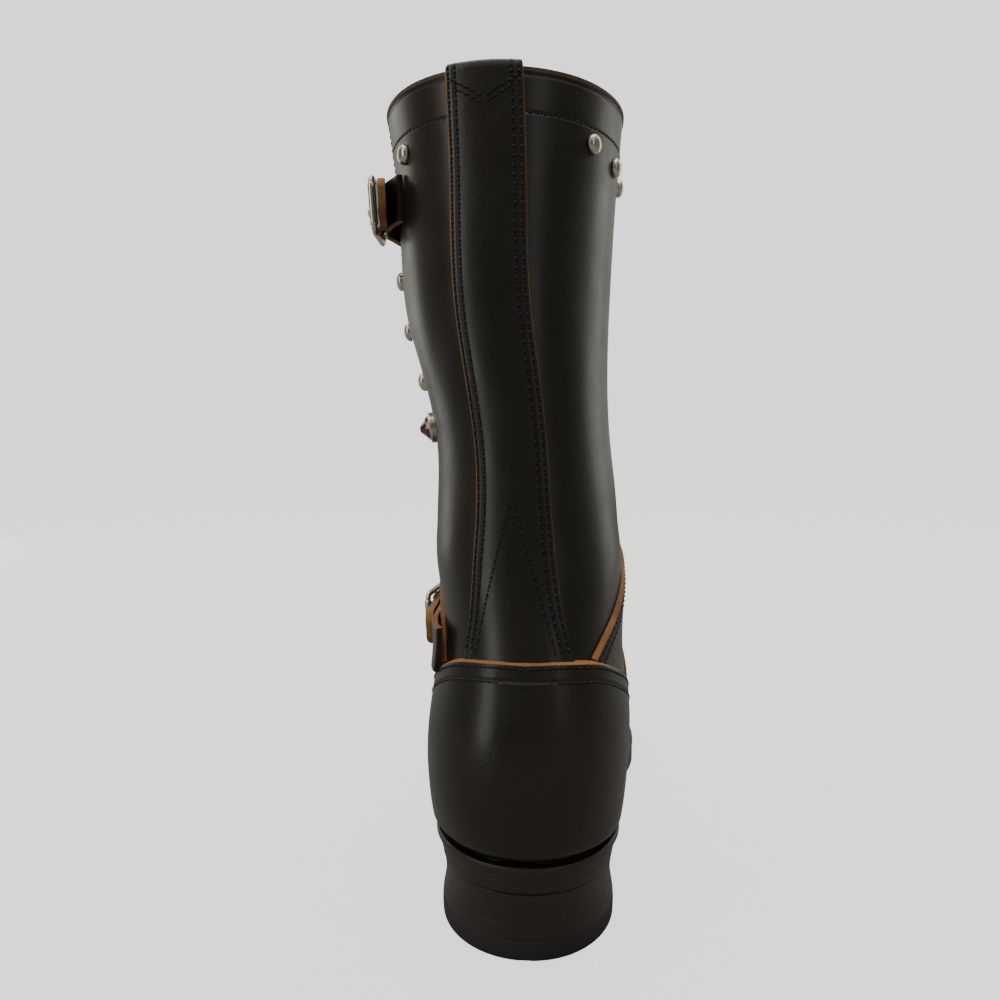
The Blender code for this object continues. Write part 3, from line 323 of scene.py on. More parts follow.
class BootSizes(bpy.types.PropertyGroup):
    """Sizes of the leather and the thread."""

    upper: FloatProperty(
        name="Upper", description="Thickness of the upper's leather",
        default=0.0025, unit="LENGTH")
    vamp: FloatProperty(
        name="Vamp", description="Thickness of the vamp",
        default=0.0021, unit="LENGTH")
    counter: FloatProperty(
        name="Counter", description="How far the counter stands off the upper",
        default=0.0034, unit="LENGTH")
    stay: FloatProperty(
        name="Back stay", description="How far the back stay stands off the upper",
        default=0.0019, unit="LENGTH")
    stay_width: FloatProperty(
        name="Back stay width", description="Width of the back stay at mid shaft",
        default=0.0285, unit="LENGTH")
    pull_tab: FloatProperty(
        name="Pull tab", description="How far the stay folds down inside the collar",
        default=0.026, unit="LENGTH")
    strap: FloatProperty(
        name="Strap", description="Thickness of the straps",
        default=0.0030, unit="LENGTH")
    stitch: FloatProperty(
        name="Stitch", description="Distance from one stitch to the next",
        default=0.0033, unit="LENGTH")
    thread: FloatProperty(
        name="Thread", description="Thickness of the thread",
        default=0.00115, unit="LENGTH")
    wire: FloatProperty(
        name="Buckle wire", description="Half the thickness of the buckle's bars",
        default=0.00125, unit="LENGTH")
    stud: FloatProperty(
        name="Stud", description="Radius of a domed stud",
        default=0.0038, unit="LENGTH")


class BootColours(bpy.types.PropertyGroup):
    """Colours of the boot and its stage."""

    black: FloatVectorProperty(
        name="Leather", description="Top colour of the leather",
        default=(0.0120, 0.0108, 0.0078), subtype="COLOR", size=3)
    brown: FloatVectorProperty(
        name="Leather under", description="Brown that shows through the top colour",
        default=(0.0250, 0.0140, 0.0088), subtype="COLOR", size=3)
    edge: FloatVectorProperty(
        name="Raw edge", description="Cut edge of the leather",
        default=(0.40, 0.165, 0.042), subtype="COLOR", size=3)
    collar: FloatVectorProperty(
        name="Collar edge", description="Rubbed edge of the collar",
        default=(0.105, 0.070, 0.036), subtype="COLOR", size=3)
    flesh: FloatVectorProperty(
        name="Flesh side", description="Inside of the leather",
        default=(0.20, 0.105, 0.048), subtype="COLOR", size=3)
    thread: FloatVectorProperty(
        name="Thread", description="Waxed thread",
        default=(0.0035, 0.0035, 0.0040), subtype="COLOR", size=3)
    stack: FloatVectorProperty(
        name="Heel stack", description="Stained edge of the lifts and soles",
        default=(0.0235, 0.0160, 0.0120), subtype="COLOR", size=3)
    stack_red: FloatVectorProperty(
        name="Heel stack red", description="Reddish layers in the heel stack",
        default=(0.042, 0.0150, 0.0105), subtype="COLOR", size=3)
    rubber: FloatVectorProperty(
        name="Rubber", description="Heel cap and tread",
        default=(0.0190, 0.0155, 0.0125), subtype="COLOR", size=3)
    nickel: FloatVectorProperty(
        name="Nickel", description="Buckles and studs",
        default=(0.68, 0.62, 0.48), subtype="COLOR", size=3)
    stone: FloatVectorProperty(
        name="Stone", description="Red stone on the side",
        default=(0.075, 0.003, 0.008), subtype="COLOR", size=3)
    floor: FloatVectorProperty(
        name="Floor", description="Studio floor",
        default=(0.80, 0.80, 0.79), subtype="COLOR", size=3)


def spline(table, column, at):
    """Natural cubic spline through one column of a table, read at `at`."""
    xs = np.array([row[0] for row in table], float)
    ys = np.array([row[column] for row in table], float)
    gaps = np.diff(xs)
    key = (id(table), column)
    if key not in _bends:
        slopes = np.diff(ys) / gaps
        size = len(xs)
        matrix = np.eye(size)
        right = np.zeros(size)
        for i in range(1, size - 1):
            matrix[i, i - 1 : i + 2] = gaps[i - 1], 2 * (gaps[i - 1] + gaps[i]), gaps[i]
            right[i] = 6 * (slopes[i] - slopes[i - 1])
        # The table is kept with its bends, so that its id stays its own.
        _bends[key] = (np.linalg.solve(matrix, right), table)
    bend = _bends[key][0]
    at = np.clip(np.asarray(at, float), xs[0], xs[-1])
    i = np.clip(np.searchsorted(xs, at, side="right") - 1, 0, len(xs) - 2)
    a = (xs[i + 1] - at) / gaps[i]
    b = 1 - a
    curve = (a**3 - a) * bend[i] + (b**3 - b) * bend[i + 1]
    return a * ys[i] + b * ys[i + 1] + curve * gaps[i] ** 2 / 6


def smoothstep(t):
    t = np.clip(t, 0, 1)
    return t * t * (3 - 2 * t)


def rounded(share, power=2.0):
    """0 at the end of a rounding and 1 past it, as a superellipse."""
    share = np.clip(share, 0, 1)
    return (1 - (1 - share) ** power) ** (1 / power)


def along(share):
    return share * LAST_LENGTH - SEAT_BACK


def share_of(y):
    return (np.asarray(y) + SEAT_BACK) / LAST_LENGTH


def height_at(share, foot=0.0):
    share = np.asarray(share, float)
    low = foot + (THROAT_HEIGHT - foot) * np.minimum(share, 1)
    return low + (TOP_HEIGHT - THROAT_HEIGHT) * np.maximum(share - 1, 0)


def leg_share(z):
    z = np.asarray(z, float)
    low = (z - SEAT_HEIGHT) / (THROAT_HEIGHT - SEAT_HEIGHT)
    high = 1 + (z - THROAT_HEIGHT) / (TOP_HEIGHT - THROAT_HEIGHT)
    return np.clip(np.where(z < THROAT_HEIGHT, low, high), 0, 2)


def tread_height(y):
    """Underside of the outsole: raised on the heel, down at the ball, up at the toe."""
    share = share_of(y)
    lift = (HEEL_HEIGHT + GAP) * (1 - smoothstep((share - 0.25) / 0.40))
    return lift + TOE_SPRING * np.clip((share - 0.70) / 0.30, 0, 1.1) ** 2


def feather_height(y):
    return tread_height(y) + SOLE_BUILD


def plan_half(share, side):
    share = np.asarray(share, float)
    column = np.where(np.asarray(side) > 0, spline(PLAN, 1, share), spline(PLAN, 2, share))
    half = SEAT_WIDTH / 2 + (BALL_WIDTH - SEAT_WIDTH) / 2 * column
    heel = rounded(share * LAST_LENGTH / HEEL_ROUND, 2.05)
    toe = rounded((1 - share) * LAST_LENGTH / TOE_ROUND, 2.15)
    return half * heel * toe


def rung_ends(v):
    """Base point and ridge point, each (y, z), of rung v."""
    base = spline(RUNG_ROWS, 1, v)
    foot_y = along(np.clip(-base, 0, 1))
    back = np.maximum(base, 0)
    base_y = np.where(base < 0, foot_y, along(spline(BACK_LINE, 1, back)))
    base_z = np.where(base < 0, feather_height(foot_y), height_at(back, SEAT_HEIGHT))
    ridge_y = along(spline(RUNG_ROWS, 2, v))
    return base_y, base_z, ridge_y, height_at(spline(RUNG_ROWS, 3, v))


def leg_half(y, z):
    level = leg_share(z)
    back = along(spline(BACK_LINE, 1, level))
    return spline(LEG, 1, level) * rounded((y - back) / (spline(LEG, 3, level) * LAST_LENGTH))


def half_width(v, s, side):
    base_y, base_z, ridge_y, ridge_z = rung_ends(v)
    y = base_y + (ridge_y - base_y) * s
    z = base_z + (ridge_z - base_z) * s
    dome = rounded((1 - s) / spline(RUNG_ROWS, 4, v), spline(RUNG_ROWS, 5, v))
    foot = plan_half(share_of(base_y), side)
    fore = foot * (1 + SIDE_SWELL * np.sin(math.pi * np.clip(s / 0.6, 0, 1)))
    rear = leg_half(y, z)
    at_base = np.maximum(leg_half(base_y, base_z), 1e-6)
    # The rear form takes the foot's width at its base, less and less towards the back.
    match = 1 + (foot / at_base - 1) * smoothstep((-spline(RUNG_ROWS, 1, v) - 0.01) / 0.09)
    rear = rear * (1 + (match - 1) * np.clip(1 - s / 0.5, 0, 1) ** 2)
    weight = smoothstep((v - 7) / 6)
    return (fore * (1 - weight) + rear * weight) * dome


def share_up(v, u):
    """Share of the rung, base to ridge, at station u."""
    t = 1 - np.abs(2 * u - 1)
    closed = smoothstep((v - HEEL_RUNG + 8) / 8)
    return (1 - closed) * np.sin(math.pi / 2 * t) + closed * (1 - np.cos(math.pi * t)) / 2


def form_point(v, u):
    """Point of the upper's outside, with nothing pressed into it."""
    v, u = np.broadcast_arrays(np.asarray(v, float), np.asarray(u, float))
    s = share_up(v, u)
    side = np.where(u < 0.5, -1, 1)
    base_y, base_z, ridge_y, ridge_z = rung_ends(v)
    y = base_y + (ridge_y - base_y) * s
    z = base_z + (ridge_z - base_z) * s
    lean = -COLLAR_LEAN * spline(LEG, 2, leg_share(z))
    return np.stack([side * half_width(v, s, side) + lean, y, z], -1)


def form_normal(v, u):
    """Outward unit normal of the form."""
    step = 2e-3
    v, u = np.broadcast_arrays(np.asarray(v, float), np.asarray(u, float))
    under = np.where(np.abs(v - HEEL_RUNG) < 2 * step, v, np.maximum(v - step, 0))
    dv = form_point(np.minimum(v + step, TOP_RUNG), u) - form_point(under, u)
    du = form_point(v, np.clip(u + step, 0, 1)) - form_point(v, np.clip(u - step, 0, 1))
    normal = np.cross(dv, du)
    seam = ((u < 1e-6) | (u > 1 - 1e-6)) & (v >= HEEL_RUNG)
    normal[..., 0] = np.where(seam, 0.0, normal[..., 0])
    normal = np.where((v < 1e-6)[..., None], [0.0, 1.0, 0.0], normal)
    return normal / np.maximum(np.linalg.norm(normal, axis=-1, keepdims=True), 1e-12)


def press(points):
    """How far the leather stands off the plain form: soft waves and the creases."""
    height = np.zeros(points.shape[:-1])
    for start, end, width, depth in CREASES:
        start, end = np.array(start), np.array(end)
        run = end - start
        share = np.clip((points - start) @ run / (run @ run), 0, 1)
        away = np.linalg.norm(points - start - share[..., None] * run, axis=-1)
        fade = 1 - 0.7 * np.abs(2 * share - 1) ** 3
        height -= depth * fade * np.exp(-((away / width) ** 2))
        height += 0.35 * depth * fade * np.exp(-(((away - 1.7 * width) / width) ** 2))
    flat = points.reshape(-1, 3)
    waves = [
        noise.noise(Vector((x * 16, y * 16, z * 9))) * 0.00055
        + noise.noise(Vector((x * 45 + 7, y * 45, z * 30))) * 0.00016
        for x, y, z in flat
    ]
    height += np.array(waves).reshape(height.shape)
    over_sole = points[..., 2] - feather_height(points[..., 1])
    return height * smoothstep(over_sole / 0.022)


def laid(v, u, height):
    """Points that stand a height off the pressed leather, kept above the welt."""
    v, u = np.broadcast_arrays(np.asarray(v, float), np.asarray(u, float))
    points = form_point(v, u)
    off = np.broadcast_to(np.asarray(height, float), v.shape) + press(points)
    points = points + form_normal(v, u) * off[..., None]
    floor = feather_height(points[..., 1]) - FEATHER_GAP + 0.0001
    low = points[..., 2] < SEAT_HEIGHT + 0.006
    points[..., 2] = np.where(low, np.maximum(points[..., 2], floor), points[..., 2])
    return points


def station(v, s):
    """The lateral station of share s of rung v."""
    v, s = np.broadcast_arrays(np.asarray(v, float), np.asarray(s, float))
    low = np.zeros(v.shape)
    high = np.full(v.shape, 0.5)
    for _ in range(30):
        middle = (low + high) / 2
        over = share_up(v, middle) > s
        high = np.where(over, middle, high)
        low = np.where(over, low, middle)
    return np.where(s <= 0, 0.0, np.where(s >= 1, 0.5, (low + high) / 2))


def place(y, z):
    """Rung and lateral station of points given in side view."""
    y, z = np.asarray(y, float), np.asarray(z, float)
    low = np.zeros(y.shape)
    high = np.full(y.shape, TOP_RUNG)
    for _ in range(40):
        v = (low + high) / 2
        base_y, base_z, ridge_y, ridge_z = rung_ends(v)
        above = (ridge_y - base_y) * (z - base_z) > (ridge_z - base_z) * (y - base_y)
        low = np.where(above, v, low)
        high = np.where(above, high, v)
    base_y, base_z, ridge_y, ridge_z = rung_ends(v)
    run_y, run_z = ridge_y - base_y, ridge_z - base_z
    share = (run_y * (y - base_y) + run_z * (z - base_z)) / (run_y**2 + run_z**2)
    return v, station(v, np.clip(share, 0, 1))


def leg_row(arcs, z):
    """Rungs and stations on the leg at one height; an arc is + on the lateral side."""
    sides = []
    for us in (np.linspace(0, 0.5, 91), 1 - np.linspace(0, 0.5, 91)):
        low = np.full(us.shape, HEEL_RUNG)
        high = np.full(us.shape, TOP_RUNG)
        for _ in range(26):
            middle = (low + high) / 2
            over = form_point(middle, us)[..., 2] > z
            high = np.where(over, middle, high)
            low = np.where(over, low, middle)
        v = (low + high) / 2
        steps = np.linalg.norm(np.diff(form_point(v, us), axis=0), axis=1)
        sides.append((np.concatenate([[0], np.cumsum(steps)]), v, us))
    arcs = np.asarray(arcs, float)
    vs = [np.interp(np.abs(arcs), run, v) for run, v, _ in sides]
    us = [np.interp(np.abs(arcs), run, u) for run, _, u in sides]
    return np.where(arcs >= 0, vs[0], vs[1]), np.where(arcs >= 0, us[0], us[1])


def slide(v, u, shift):
    """Rungs and stations after small moves along the form, in metres."""
    for _ in range(4):
        here = form_point(v, u)
        dv = (form_point(v + 1e-3, u) - here) / 1e-3
        du = (form_point(v, u + 1e-4) - here) / 1e-4
        a, b, c = (dv * dv).sum(-1), (dv * du).sum(-1), (du * du).sum(-1)
        p, q = (dv * shift).sum(-1) / 4, (du * shift).sum(-1) / 4
        det = a * c - b * b
        v = v + (c * p - b * q) / det
        u = u + (a * q - b * p) / det
    return v, u


def side_curve(table, shift, count):
    """Rungs and stations along an edge given in side view, moved in by a shift."""
    points = np.array(table, float)
    run = np.concatenate([[0], np.cumsum(np.linalg.norm(np.diff(points, axis=0), axis=1))])
    rows = [(r, y, z) for r, (y, z) in zip(run, points)]
    at = np.linspace(0, run[-1], count)
    line = np.stack([spline(rows, 1, at), spline(rows, 2, at)], -1)
    tangent = np.gradient(line, axis=0)
    tangent /= np.linalg.norm(tangent, axis=1, keepdims=True)
    inward = np.stack([-tangent[:, 1], tangent[:, 0]], -1)
    inward *= np.where(inward[:, 1:] > 0, -1, 1)
    line = line + inward * shift
    return place(line[:, 0], line[:, 1])


def select_only(obj):
    bpy.ops.object.select_all(action="DESELECT")
    obj.select_set(True)
    bpy.context.view_layer.objects.active = obj


def apply_modifier(obj, kind, **values):
    modifier = obj.modifiers.new(kind, kind)
    for key, value in values.items():
        setattr(modifier, key, value)
    select_only(obj)
    bpy.ops.object.modifier_apply(modifier=modifier.name)


def in_edit_mode(obj, *steps):
    """Runs edit-mode steps on all of an object's mesh."""
    select_only(obj)
    bpy.ops.object.mode_set(mode="EDIT")
    bpy.ops.mesh.select_all(action="SELECT")
    for step in steps:
        step()
    bpy.ops.object.mode_set(mode="OBJECT")


def merge_doubles():
    bpy.ops.mesh.remove_doubles(threshold=2e-6)


def face_out():
    bpy.ops.mesh.normals_make_consistent(inside=False)


def grid_object(name, points):
    """Grid of faces with its points laid at an array of rows and columns."""
    rows, columns = points.shape[:2]
    bpy.ops.object.select_all(action="DESELECT")
    bpy.ops.mesh.primitive_grid_add(x_subdivisions=columns - 1, y_subdivisions=rows - 1)
    obj = bpy.context.object
    obj.name = obj.data.name = name
    if len(obj.data.vertices) != rows * columns:
        raise RuntimeError(f"{name}: the grid has {len(obj.data.vertices)} points")
    obj.data.vertices.foreach_set("co", points.astype(np.float32).ravel())
    obj.data.update()
    return obj


def keep_values(mesh, name, values):
    store = mesh.attributes.new(name, "FLOAT", "POINT")
    store.data.foreach_set("value", np.asarray(values, np.float32).ravel())


def leather_sheet(name, outer, inner, materials, rim, rub_and_sheen=None, edge=None, split=None):
    """Leather with an outer and an inner skin given as grids of the same rows and columns.

    materials are the grain, the cut edge and the flesh side. rim is each point's distance
    from the cut edge, edge marks the faces of the cut edge, and split is a column where
    the sheet is in two halves that meet only where their points do."""
    rows, columns = outer.shape[:2]
    obj = grid_object(name, outer)
    mesh = obj.data
    keep_values(mesh, "rim", rim)
    keep_values(mesh, "rub_and_sheen", np.zeros((rows, columns)) if rub_and_sheen is None else rub_and_sheen)
    spot = mesh.attributes.new("spot", "INT", "POINT")
    spot.data.foreach_set("value", np.arange(rows * columns, dtype=np.int32))
    for material in materials:
        mesh.materials.append(material)
    slots = np.zeros((rows - 1, columns - 1), np.int32)
    if edge is not None:
        slots[edge] = 1
    mesh.polygons.foreach_set("material_index", slots.ravel())
    if split is not None:
        shape = bmesh.new()
        shape.from_mesh(mesh)
        shape.faces.ensure_lookup_table()
        gone = [shape.faces[i * (columns - 1) + split] for i in range(rows - 1)]
        bmesh.ops.delete(shape, geom=gone, context="FACES_ONLY")
        shape.to_mesh(mesh)
        shape.free()
    in_edit_mode(obj, merge_doubles)
    count = len(mesh.vertices)
    apply_modifier(
        obj, "SOLIDIFY", thickness=0.001, offset=-1, use_rim=True,
        material_offset=2, material_offset_rim=1)
    mesh = obj.data
    spots = np.zeros(len(mesh.vertices), np.int32)
    mesh.attributes["spot"].data.foreach_get("value", spots)
    places = np.concatenate([
        outer.reshape(-1, 3)[spots[:count]], inner.reshape(-1, 3)[spots[count:]]])
    mesh.vertices.foreach_set("co", places.astype(np.float32).ravel())
    mesh.attributes.remove(mesh.attributes["spot"])
    mesh.update()
    smooth(obj, 38)
    return obj


def smooth(obj, angle):
    select_only(obj)
    bpy.ops.object.shade_smooth_by_angle(angle=math.radians(angle))


def finish_piece(obj, slot, *nodes):
    """The piece rides on the boot's one body and stands for its nodes."""
    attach(obj, "root")
    if nodes:
        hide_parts(*nodes)


def cut_edge(height, reach, steps=4):
    """Distances in from a cut edge, and the heights of its rounded face."""
    turn = np.linspace(0, math.pi / 2, steps)
    return reach * (1 - np.sin(turn)), 0.0003 + (height - 0.0003) * (1 - np.cos(turn)) ** 0.55


def mirrored(v, u):
    """Lateral grid with its medial twin beside it, joined at the last column."""
    return np.concatenate([v, v[:, ::-1]], 1), np.concatenate([u, 1 - u[:, ::-1]], 1)


def new_group(name, inputs, outputs):
    """Shader node group with named sockets, and its two end nodes."""
    tree = bpy.data.node_groups.new(name, "ShaderNodeTree")
    for label, kind, value in inputs:
        socket = tree.interface.new_socket(label, in_out="INPUT", socket_type=kind)
        if value is not None:
            socket.default_value = value
    for label, kind in outputs:
        tree.interface.new_socket(label, in_out="OUTPUT", socket_type=kind)
    return tree, tree.nodes.new("NodeGroupInput"), tree.nodes.new("NodeGroupOutput")


def feed(tree, node, inputs):
    """Sets a node's inputs, each to a value or from another node's output."""
    for key, value in inputs.items():
        if isinstance(value, bpy.types.NodeSocket):
            tree.links.new(value, node.inputs[key])
        else:
            node.inputs[key].default_value = value
    return node


def add_node(tree, kind, inputs, **values):
    node = tree.nodes.new(kind)
    for key, value in values.items():
        setattr(node, key, value)
    return feed(tree, node, inputs)


def calc(tree, operation, *values):
    node = tree.nodes.new("ShaderNodeMath")
    node.operation = operation
    return feed(tree, node, dict(enumerate(values))).outputs[0]


def blend(tree, share, one, two):
    """Mix of two colours."""
    node = tree.nodes.new("ShaderNodeMix")
    node.data_type = "RGBA"
    return feed(tree, node, {0: share, 6: one, 7: two}).outputs[2]


def between(tree, value, low, high, to_low=0.0, to_high=1.0):
    """Smooth step of a value from one range to another."""
    ends = {"Value": value, "From Min": low, "From Max": high}
    ends.update({"To Min": to_low, "To Max": to_high})
    node = add_node(tree, "ShaderNodeMapRange", ends, interpolation_type="SMOOTHSTEP")
    return node.outputs["Result"]


def cloud(tree, place_of, scale, detail=2.0, rough=0.55):
    inputs = {"Vector": place_of, "Scale": scale, "Detail": detail, "Roughness": rough}
    return add_node(tree, "ShaderNodeTexNoise", inputs).outputs[0]


def grain_group():
    """Fine grain of a hide: small cells, pores and broad tone."""
    tree, start, end = new_group(
        "hide grain",
        [("Place", "NodeSocketVector", None), ("Scale", "NodeSocketFloat", 900.0),
         ("Depth", "NodeSocketFloat", 0.00004)],
        [("Height", "NodeSocketFloat"), ("Tone", "NodeSocketFloat")])
    spot, scale = start.outputs["Place"], start.outputs["Scale"]
    cells = add_node(tree, "ShaderNodeTexVoronoi", {"Vector": spot, "Scale": scale})
    fine = cloud(tree, spot, calc(tree, "MULTIPLY", scale, 0.9), 3.0, 0.6)
    pores = between(tree, cloud(tree, spot, calc(tree, "MULTIPLY", scale, 0.45), 1.0), 0.62, 0.74)
    raised = calc(tree, "ADD", calc(tree, "MULTIPLY", cells.outputs["Distance"], 0.6), fine)
    raised = calc(tree, "SUBTRACT", raised, pores)
    height = calc(tree, "MULTIPLY", raised, start.outputs["Depth"])
    tree.links.new(height, end.inputs["Height"])
    tree.links.new(cloud(tree, spot, 26.0, 4.0, 0.6), end.inputs["Tone"])
    return tree


def groove_group():
    """Leather pulled in along a row of stitches at one distance from the cut edge. Its mask also
    drives the painted shade that darkens the groove.
    """
    tree, start, end = new_group(
        "seam groove",
        [("Rim", "NodeSocketFloat", 1.0), ("Inset", "NodeSocketFloat", 0.002),
         ("Width", "NodeSocketFloat", 0.0011), ("Depth", "NodeSocketFloat", 0.00028)],
        [("Height", "NodeSocketFloat"), ("Mask", "NodeSocketFloat")])
    away = calc(tree, "ABSOLUTE", calc(tree, "SUBTRACT", start.outputs["Rim"],
                                       start.outputs["Inset"]))
    mask = between(tree, away, 0.0, start.outputs["Width"], 1.0, 0.0)
    height = calc(tree, "MULTIPLY", mask, start.outputs["Depth"])
    tree.links.new(calc(tree, "MULTIPLY", height, -1.0), end.inputs["Height"])
    tree.links.new(mask, end.inputs["Mask"])
    return tree


def wear_group():
    """Rubbed band along a cut edge, broken up by noise."""
    tree, start, end = new_group(
        "edge wear",
        [("Rim", "NodeSocketFloat", 1.0), ("Place", "NodeSocketVector", None),
         ("Reach", "NodeSocketFloat", 0.0012)],
        [("Mask", "NodeSocketFloat")])
    ragged = calc(tree, "SUBTRACT", cloud(tree, start.outputs["Place"], 260.0, 3.0), 0.5)
    ragged = calc(tree, "MULTIPLY", ragged, calc(tree, "MULTIPLY", start.outputs["Reach"], 2.5))
    away = calc(tree, "ADD", start.outputs["Rim"], ragged)
    mask = between(tree, away, 0.0, start.outputs["Reach"], 1.0, 0.0)
    tree.links.new(mask, end.inputs["Mask"])
    return tree


def dust_group():
    """Light dust and scuffs: more of them low down on the boot."""
    tree, start, end = new_group(
        "dust", [("Place", "NodeSocketVector", None), ("Amount", "NodeSocketFloat", 0.3)],
        [("Mask", "NodeSocketFloat")])
    parts = add_node(tree, "ShaderNodeSeparateXYZ", {"Vector": start.outputs["Place"]})
    low = between(tree, parts.outputs["Z"], 0.0, 0.10, 1.0, 0.25)
    specks = between(tree, cloud(tree, start.outputs["Place"], 340.0, 4.0, 0.7), 0.56, 0.72)
    patch = between(tree, cloud(tree, start.outputs["Place"], 18.0, 3.0), 0.45, 0.70)
    mask = calc(tree, "MULTIPLY", calc(tree, "MULTIPLY", low, specks), patch)
    tree.links.new(calc(tree, "MULTIPLY", mask, start.outputs["Amount"]), end.inputs["Mask"])
    return tree


def use_group(tree, name, inputs):
    makers = {"hide grain": grain_group, "seam groove": groove_group,
              "edge wear": wear_group, "dust": dust_group}
    node = tree.nodes.new("ShaderNodeGroup")
    node.node_tree = bpy.data.node_groups.get(name) or makers[name]()
    return feed(tree, node, inputs)


def new_material(name, **plain):
    """Material with its shader, its object place and its values that stay the same."""
    material = bpy.data.materials.new(name)
    material.use_nodes = True
    tree = material.node_tree
    shader = tree.nodes["Principled BSDF"]
    for key, value in plain.items():
        shader.inputs[key.replace("_", " ")].default_value = value
    place_of = tree.nodes.new("ShaderNodeTexCoord").outputs["Object"]
    return material, tree, shader, place_of


def attribute(tree, name):
    return add_node(tree, "ShaderNodeAttribute", {}, attribute_name=name).outputs["Fac"]


def relief(tree, shader, height):
    """Bump of a height in metres."""
    bump = add_node(tree, "ShaderNodeBump", {"Height": height, "Distance": 1.0, "Strength": 1.0})
    tree.links.new(bump.outputs["Normal"], shader.inputs["Normal"])


def opaque(colour, gain=1.0):
    return (colour[0] * gain, colour[1] * gain, colour[2] * gain, 1.0)


def stretched(tree, place_of, scale):
    return add_node(tree, "ShaderNodeMapping", {"Vector": place_of, "Scale": scale}).outputs[0]


def leather_material(name, insets=(), reddish=0.35, reach=0.0010):
    """Black waxed leather over brown, with a groove at each row of stitches, darkened in the groove
    as painted shade.
    """
    found = bpy.data.materials.get(name)
    if found:
        return found
    colours = bpy.context.scene.boot_colours
    material, tree, shader, spot = new_material(
        name, Coat_Weight=0.10, Coat_Roughness=0.20, IOR=1.45)
    rim, rub_and_sheen = attribute(tree, "rim"), attribute(tree, "rub_and_sheen")
    grain = use_group(tree, "hide grain", {"Place": spot, "Scale": 1150.0, "Depth": 0.000022})
    patch = between(tree, cloud(tree, stretched(tree, spot, (14, 14, 6)), 1.0, 3.0), 0.42, 0.66)
    patch = calc(tree, "MULTIPLY", patch, reddish)
    tone = calc(tree, "MULTIPLY", grain.outputs["Tone"], 0.25)
    colour = blend(tree, calc(tree, "ADD", patch, tone), opaque(colours.black),
                   opaque(colours.brown))
    wear = use_group(tree, "edge wear", {"Rim": rim, "Place": spot, "Reach": reach})
    rubbed = calc(tree, "MULTIPLY", wear.outputs["Mask"], 0.75)
    colour = blend(tree, rubbed, colour, opaque(colours.brown, 2.2))
    # The marked band is painted a lighter grey-olive and made rougher: partly rubbed wear, partly a
    # painted highlight.
    colour = blend(tree, calc(tree, "MULTIPLY", rub_and_sheen, 0.8), colour, opaque((0.075, 0.068, 0.052)))
    dust = use_group(tree, "dust", {"Place": spot, "Amount": 0.22})
    colour = blend(tree, dust.outputs["Mask"], colour, opaque((0.12, 0.11, 0.095)))
    height, sunk = grain.outputs["Height"], 0.0
    for inset in insets:
        groove = use_group(tree, "seam groove", {"Rim": rim, "Inset": inset})
        height = calc(tree, "ADD", height, groove.outputs["Height"])
        # Painted shade: along each groove the leather is darkened towards a dim black, where shade
        # would fall.
        dark = calc(tree, "MULTIPLY", groove.outputs["Mask"], 0.75)
        colour = blend(tree, dark, colour, opaque(colours.black, 0.35))
        sunk = calc(tree, "MAXIMUM", sunk, dark)
    tree.links.new(colour, shader.inputs["Base Color"])
    gloss = between(tree, cloud(tree, spot, 34.0, 5.0, 0.62), 0.30, 0.72, 0.28, 0.40)
    scuffs = cloud(tree, stretched(tree, spot, (420, 420, 90)), 1.0, 3.0)
    gloss = calc(tree, "ADD", gloss, between(tree, scuffs, 0.60, 0.80, 0.0, 0.09))
    gloss = calc(tree, "ADD", gloss, calc(tree, "MULTIPLY", rub_and_sheen, 0.22))
    gloss = calc(tree, "ADD", gloss, calc(tree, "MULTIPLY", sunk, 0.25))
    gloss = calc(tree, "ADD", gloss, calc(tree, "MULTIPLY", dust.outputs["Mask"], 0.5))
    tree.links.new(gloss, shader.inputs["Roughness"])
    relief(tree, shader, height)
    return material


def fibre_material(name, colour, dark=0.5, scale=500.0, depth=0.00008, rough=0.72):
    """Cut or flesh side of leather: matt, fibrous and uneven in tone."""
    found = bpy.data.materials.get(name)
    if found:
        return found
    material, tree, shader, spot = new_material(name)
    fine = cloud(tree, spot, scale, 4.0, 0.7)
    broad = between(tree, cloud(tree, spot, 70.0, 3.0), 0.35, 0.68)
    shade = calc(tree, "ADD", calc(tree, "MULTIPLY", broad, 0.6), calc(tree, "MULTIPLY", fine, 0.5))
    tone = blend(tree, shade, opaque(colour), opaque(colour, dark))
    tree.links.new(tone, shader.inputs["Base Color"])
    tree.links.new(between(tree, fine, 0.2, 0.8, rough - 0.1, rough + 0.1),
                   shader.inputs["Roughness"])
    relief(tree, shader, calc(tree, "MULTIPLY", fine, depth))
    return material


def stack_material(name, lines, red_share, rough):
    """Stained and burnished edge of stacked leather, with faint layers."""
    found = bpy.data.materials.get(name)
    if found:
        return found
    colours = bpy.context.scene.boot_colours
    material, tree, shader, spot = new_material(name, Coat_Weight=0.18, Coat_Roughness=0.25)
    layered = stretched(tree, spot, (9, 9, lines))
    layers = between(tree, cloud(tree, layered, 1.0, 3.0, 0.6), 0.44, 0.66)
    patch = between(tree, cloud(tree, spot, 24.0, 2.0), 0.40, 0.70)
    share = calc(tree, "MULTIPLY", calc(tree, "MULTIPLY", layers, patch), red_share)
    colour = blend(tree, share, opaque(colours.stack), opaque(colours.stack_red))
    dust = use_group(tree, "dust", {"Place": spot, "Amount": 0.14})
    colour = blend(tree, dust.outputs["Mask"], colour, opaque((0.09, 0.08, 0.07)))
    tree.links.new(colour, shader.inputs["Base Color"])
    fine = cloud(tree, stretched(tree, spot, (160, 160, 900)), 1.0, 4.0, 0.65)
    gloss = between(tree, fine, 0.25, 0.75, rough - 0.07, rough + 0.12)
    tree.links.new(gloss, shader.inputs["Roughness"])
    height = calc(tree, "ADD", calc(tree, "MULTIPLY", fine, 0.00005),
                  calc(tree, "MULTIPLY", layers, -0.00003))
    relief(tree, shader, height)
    return material


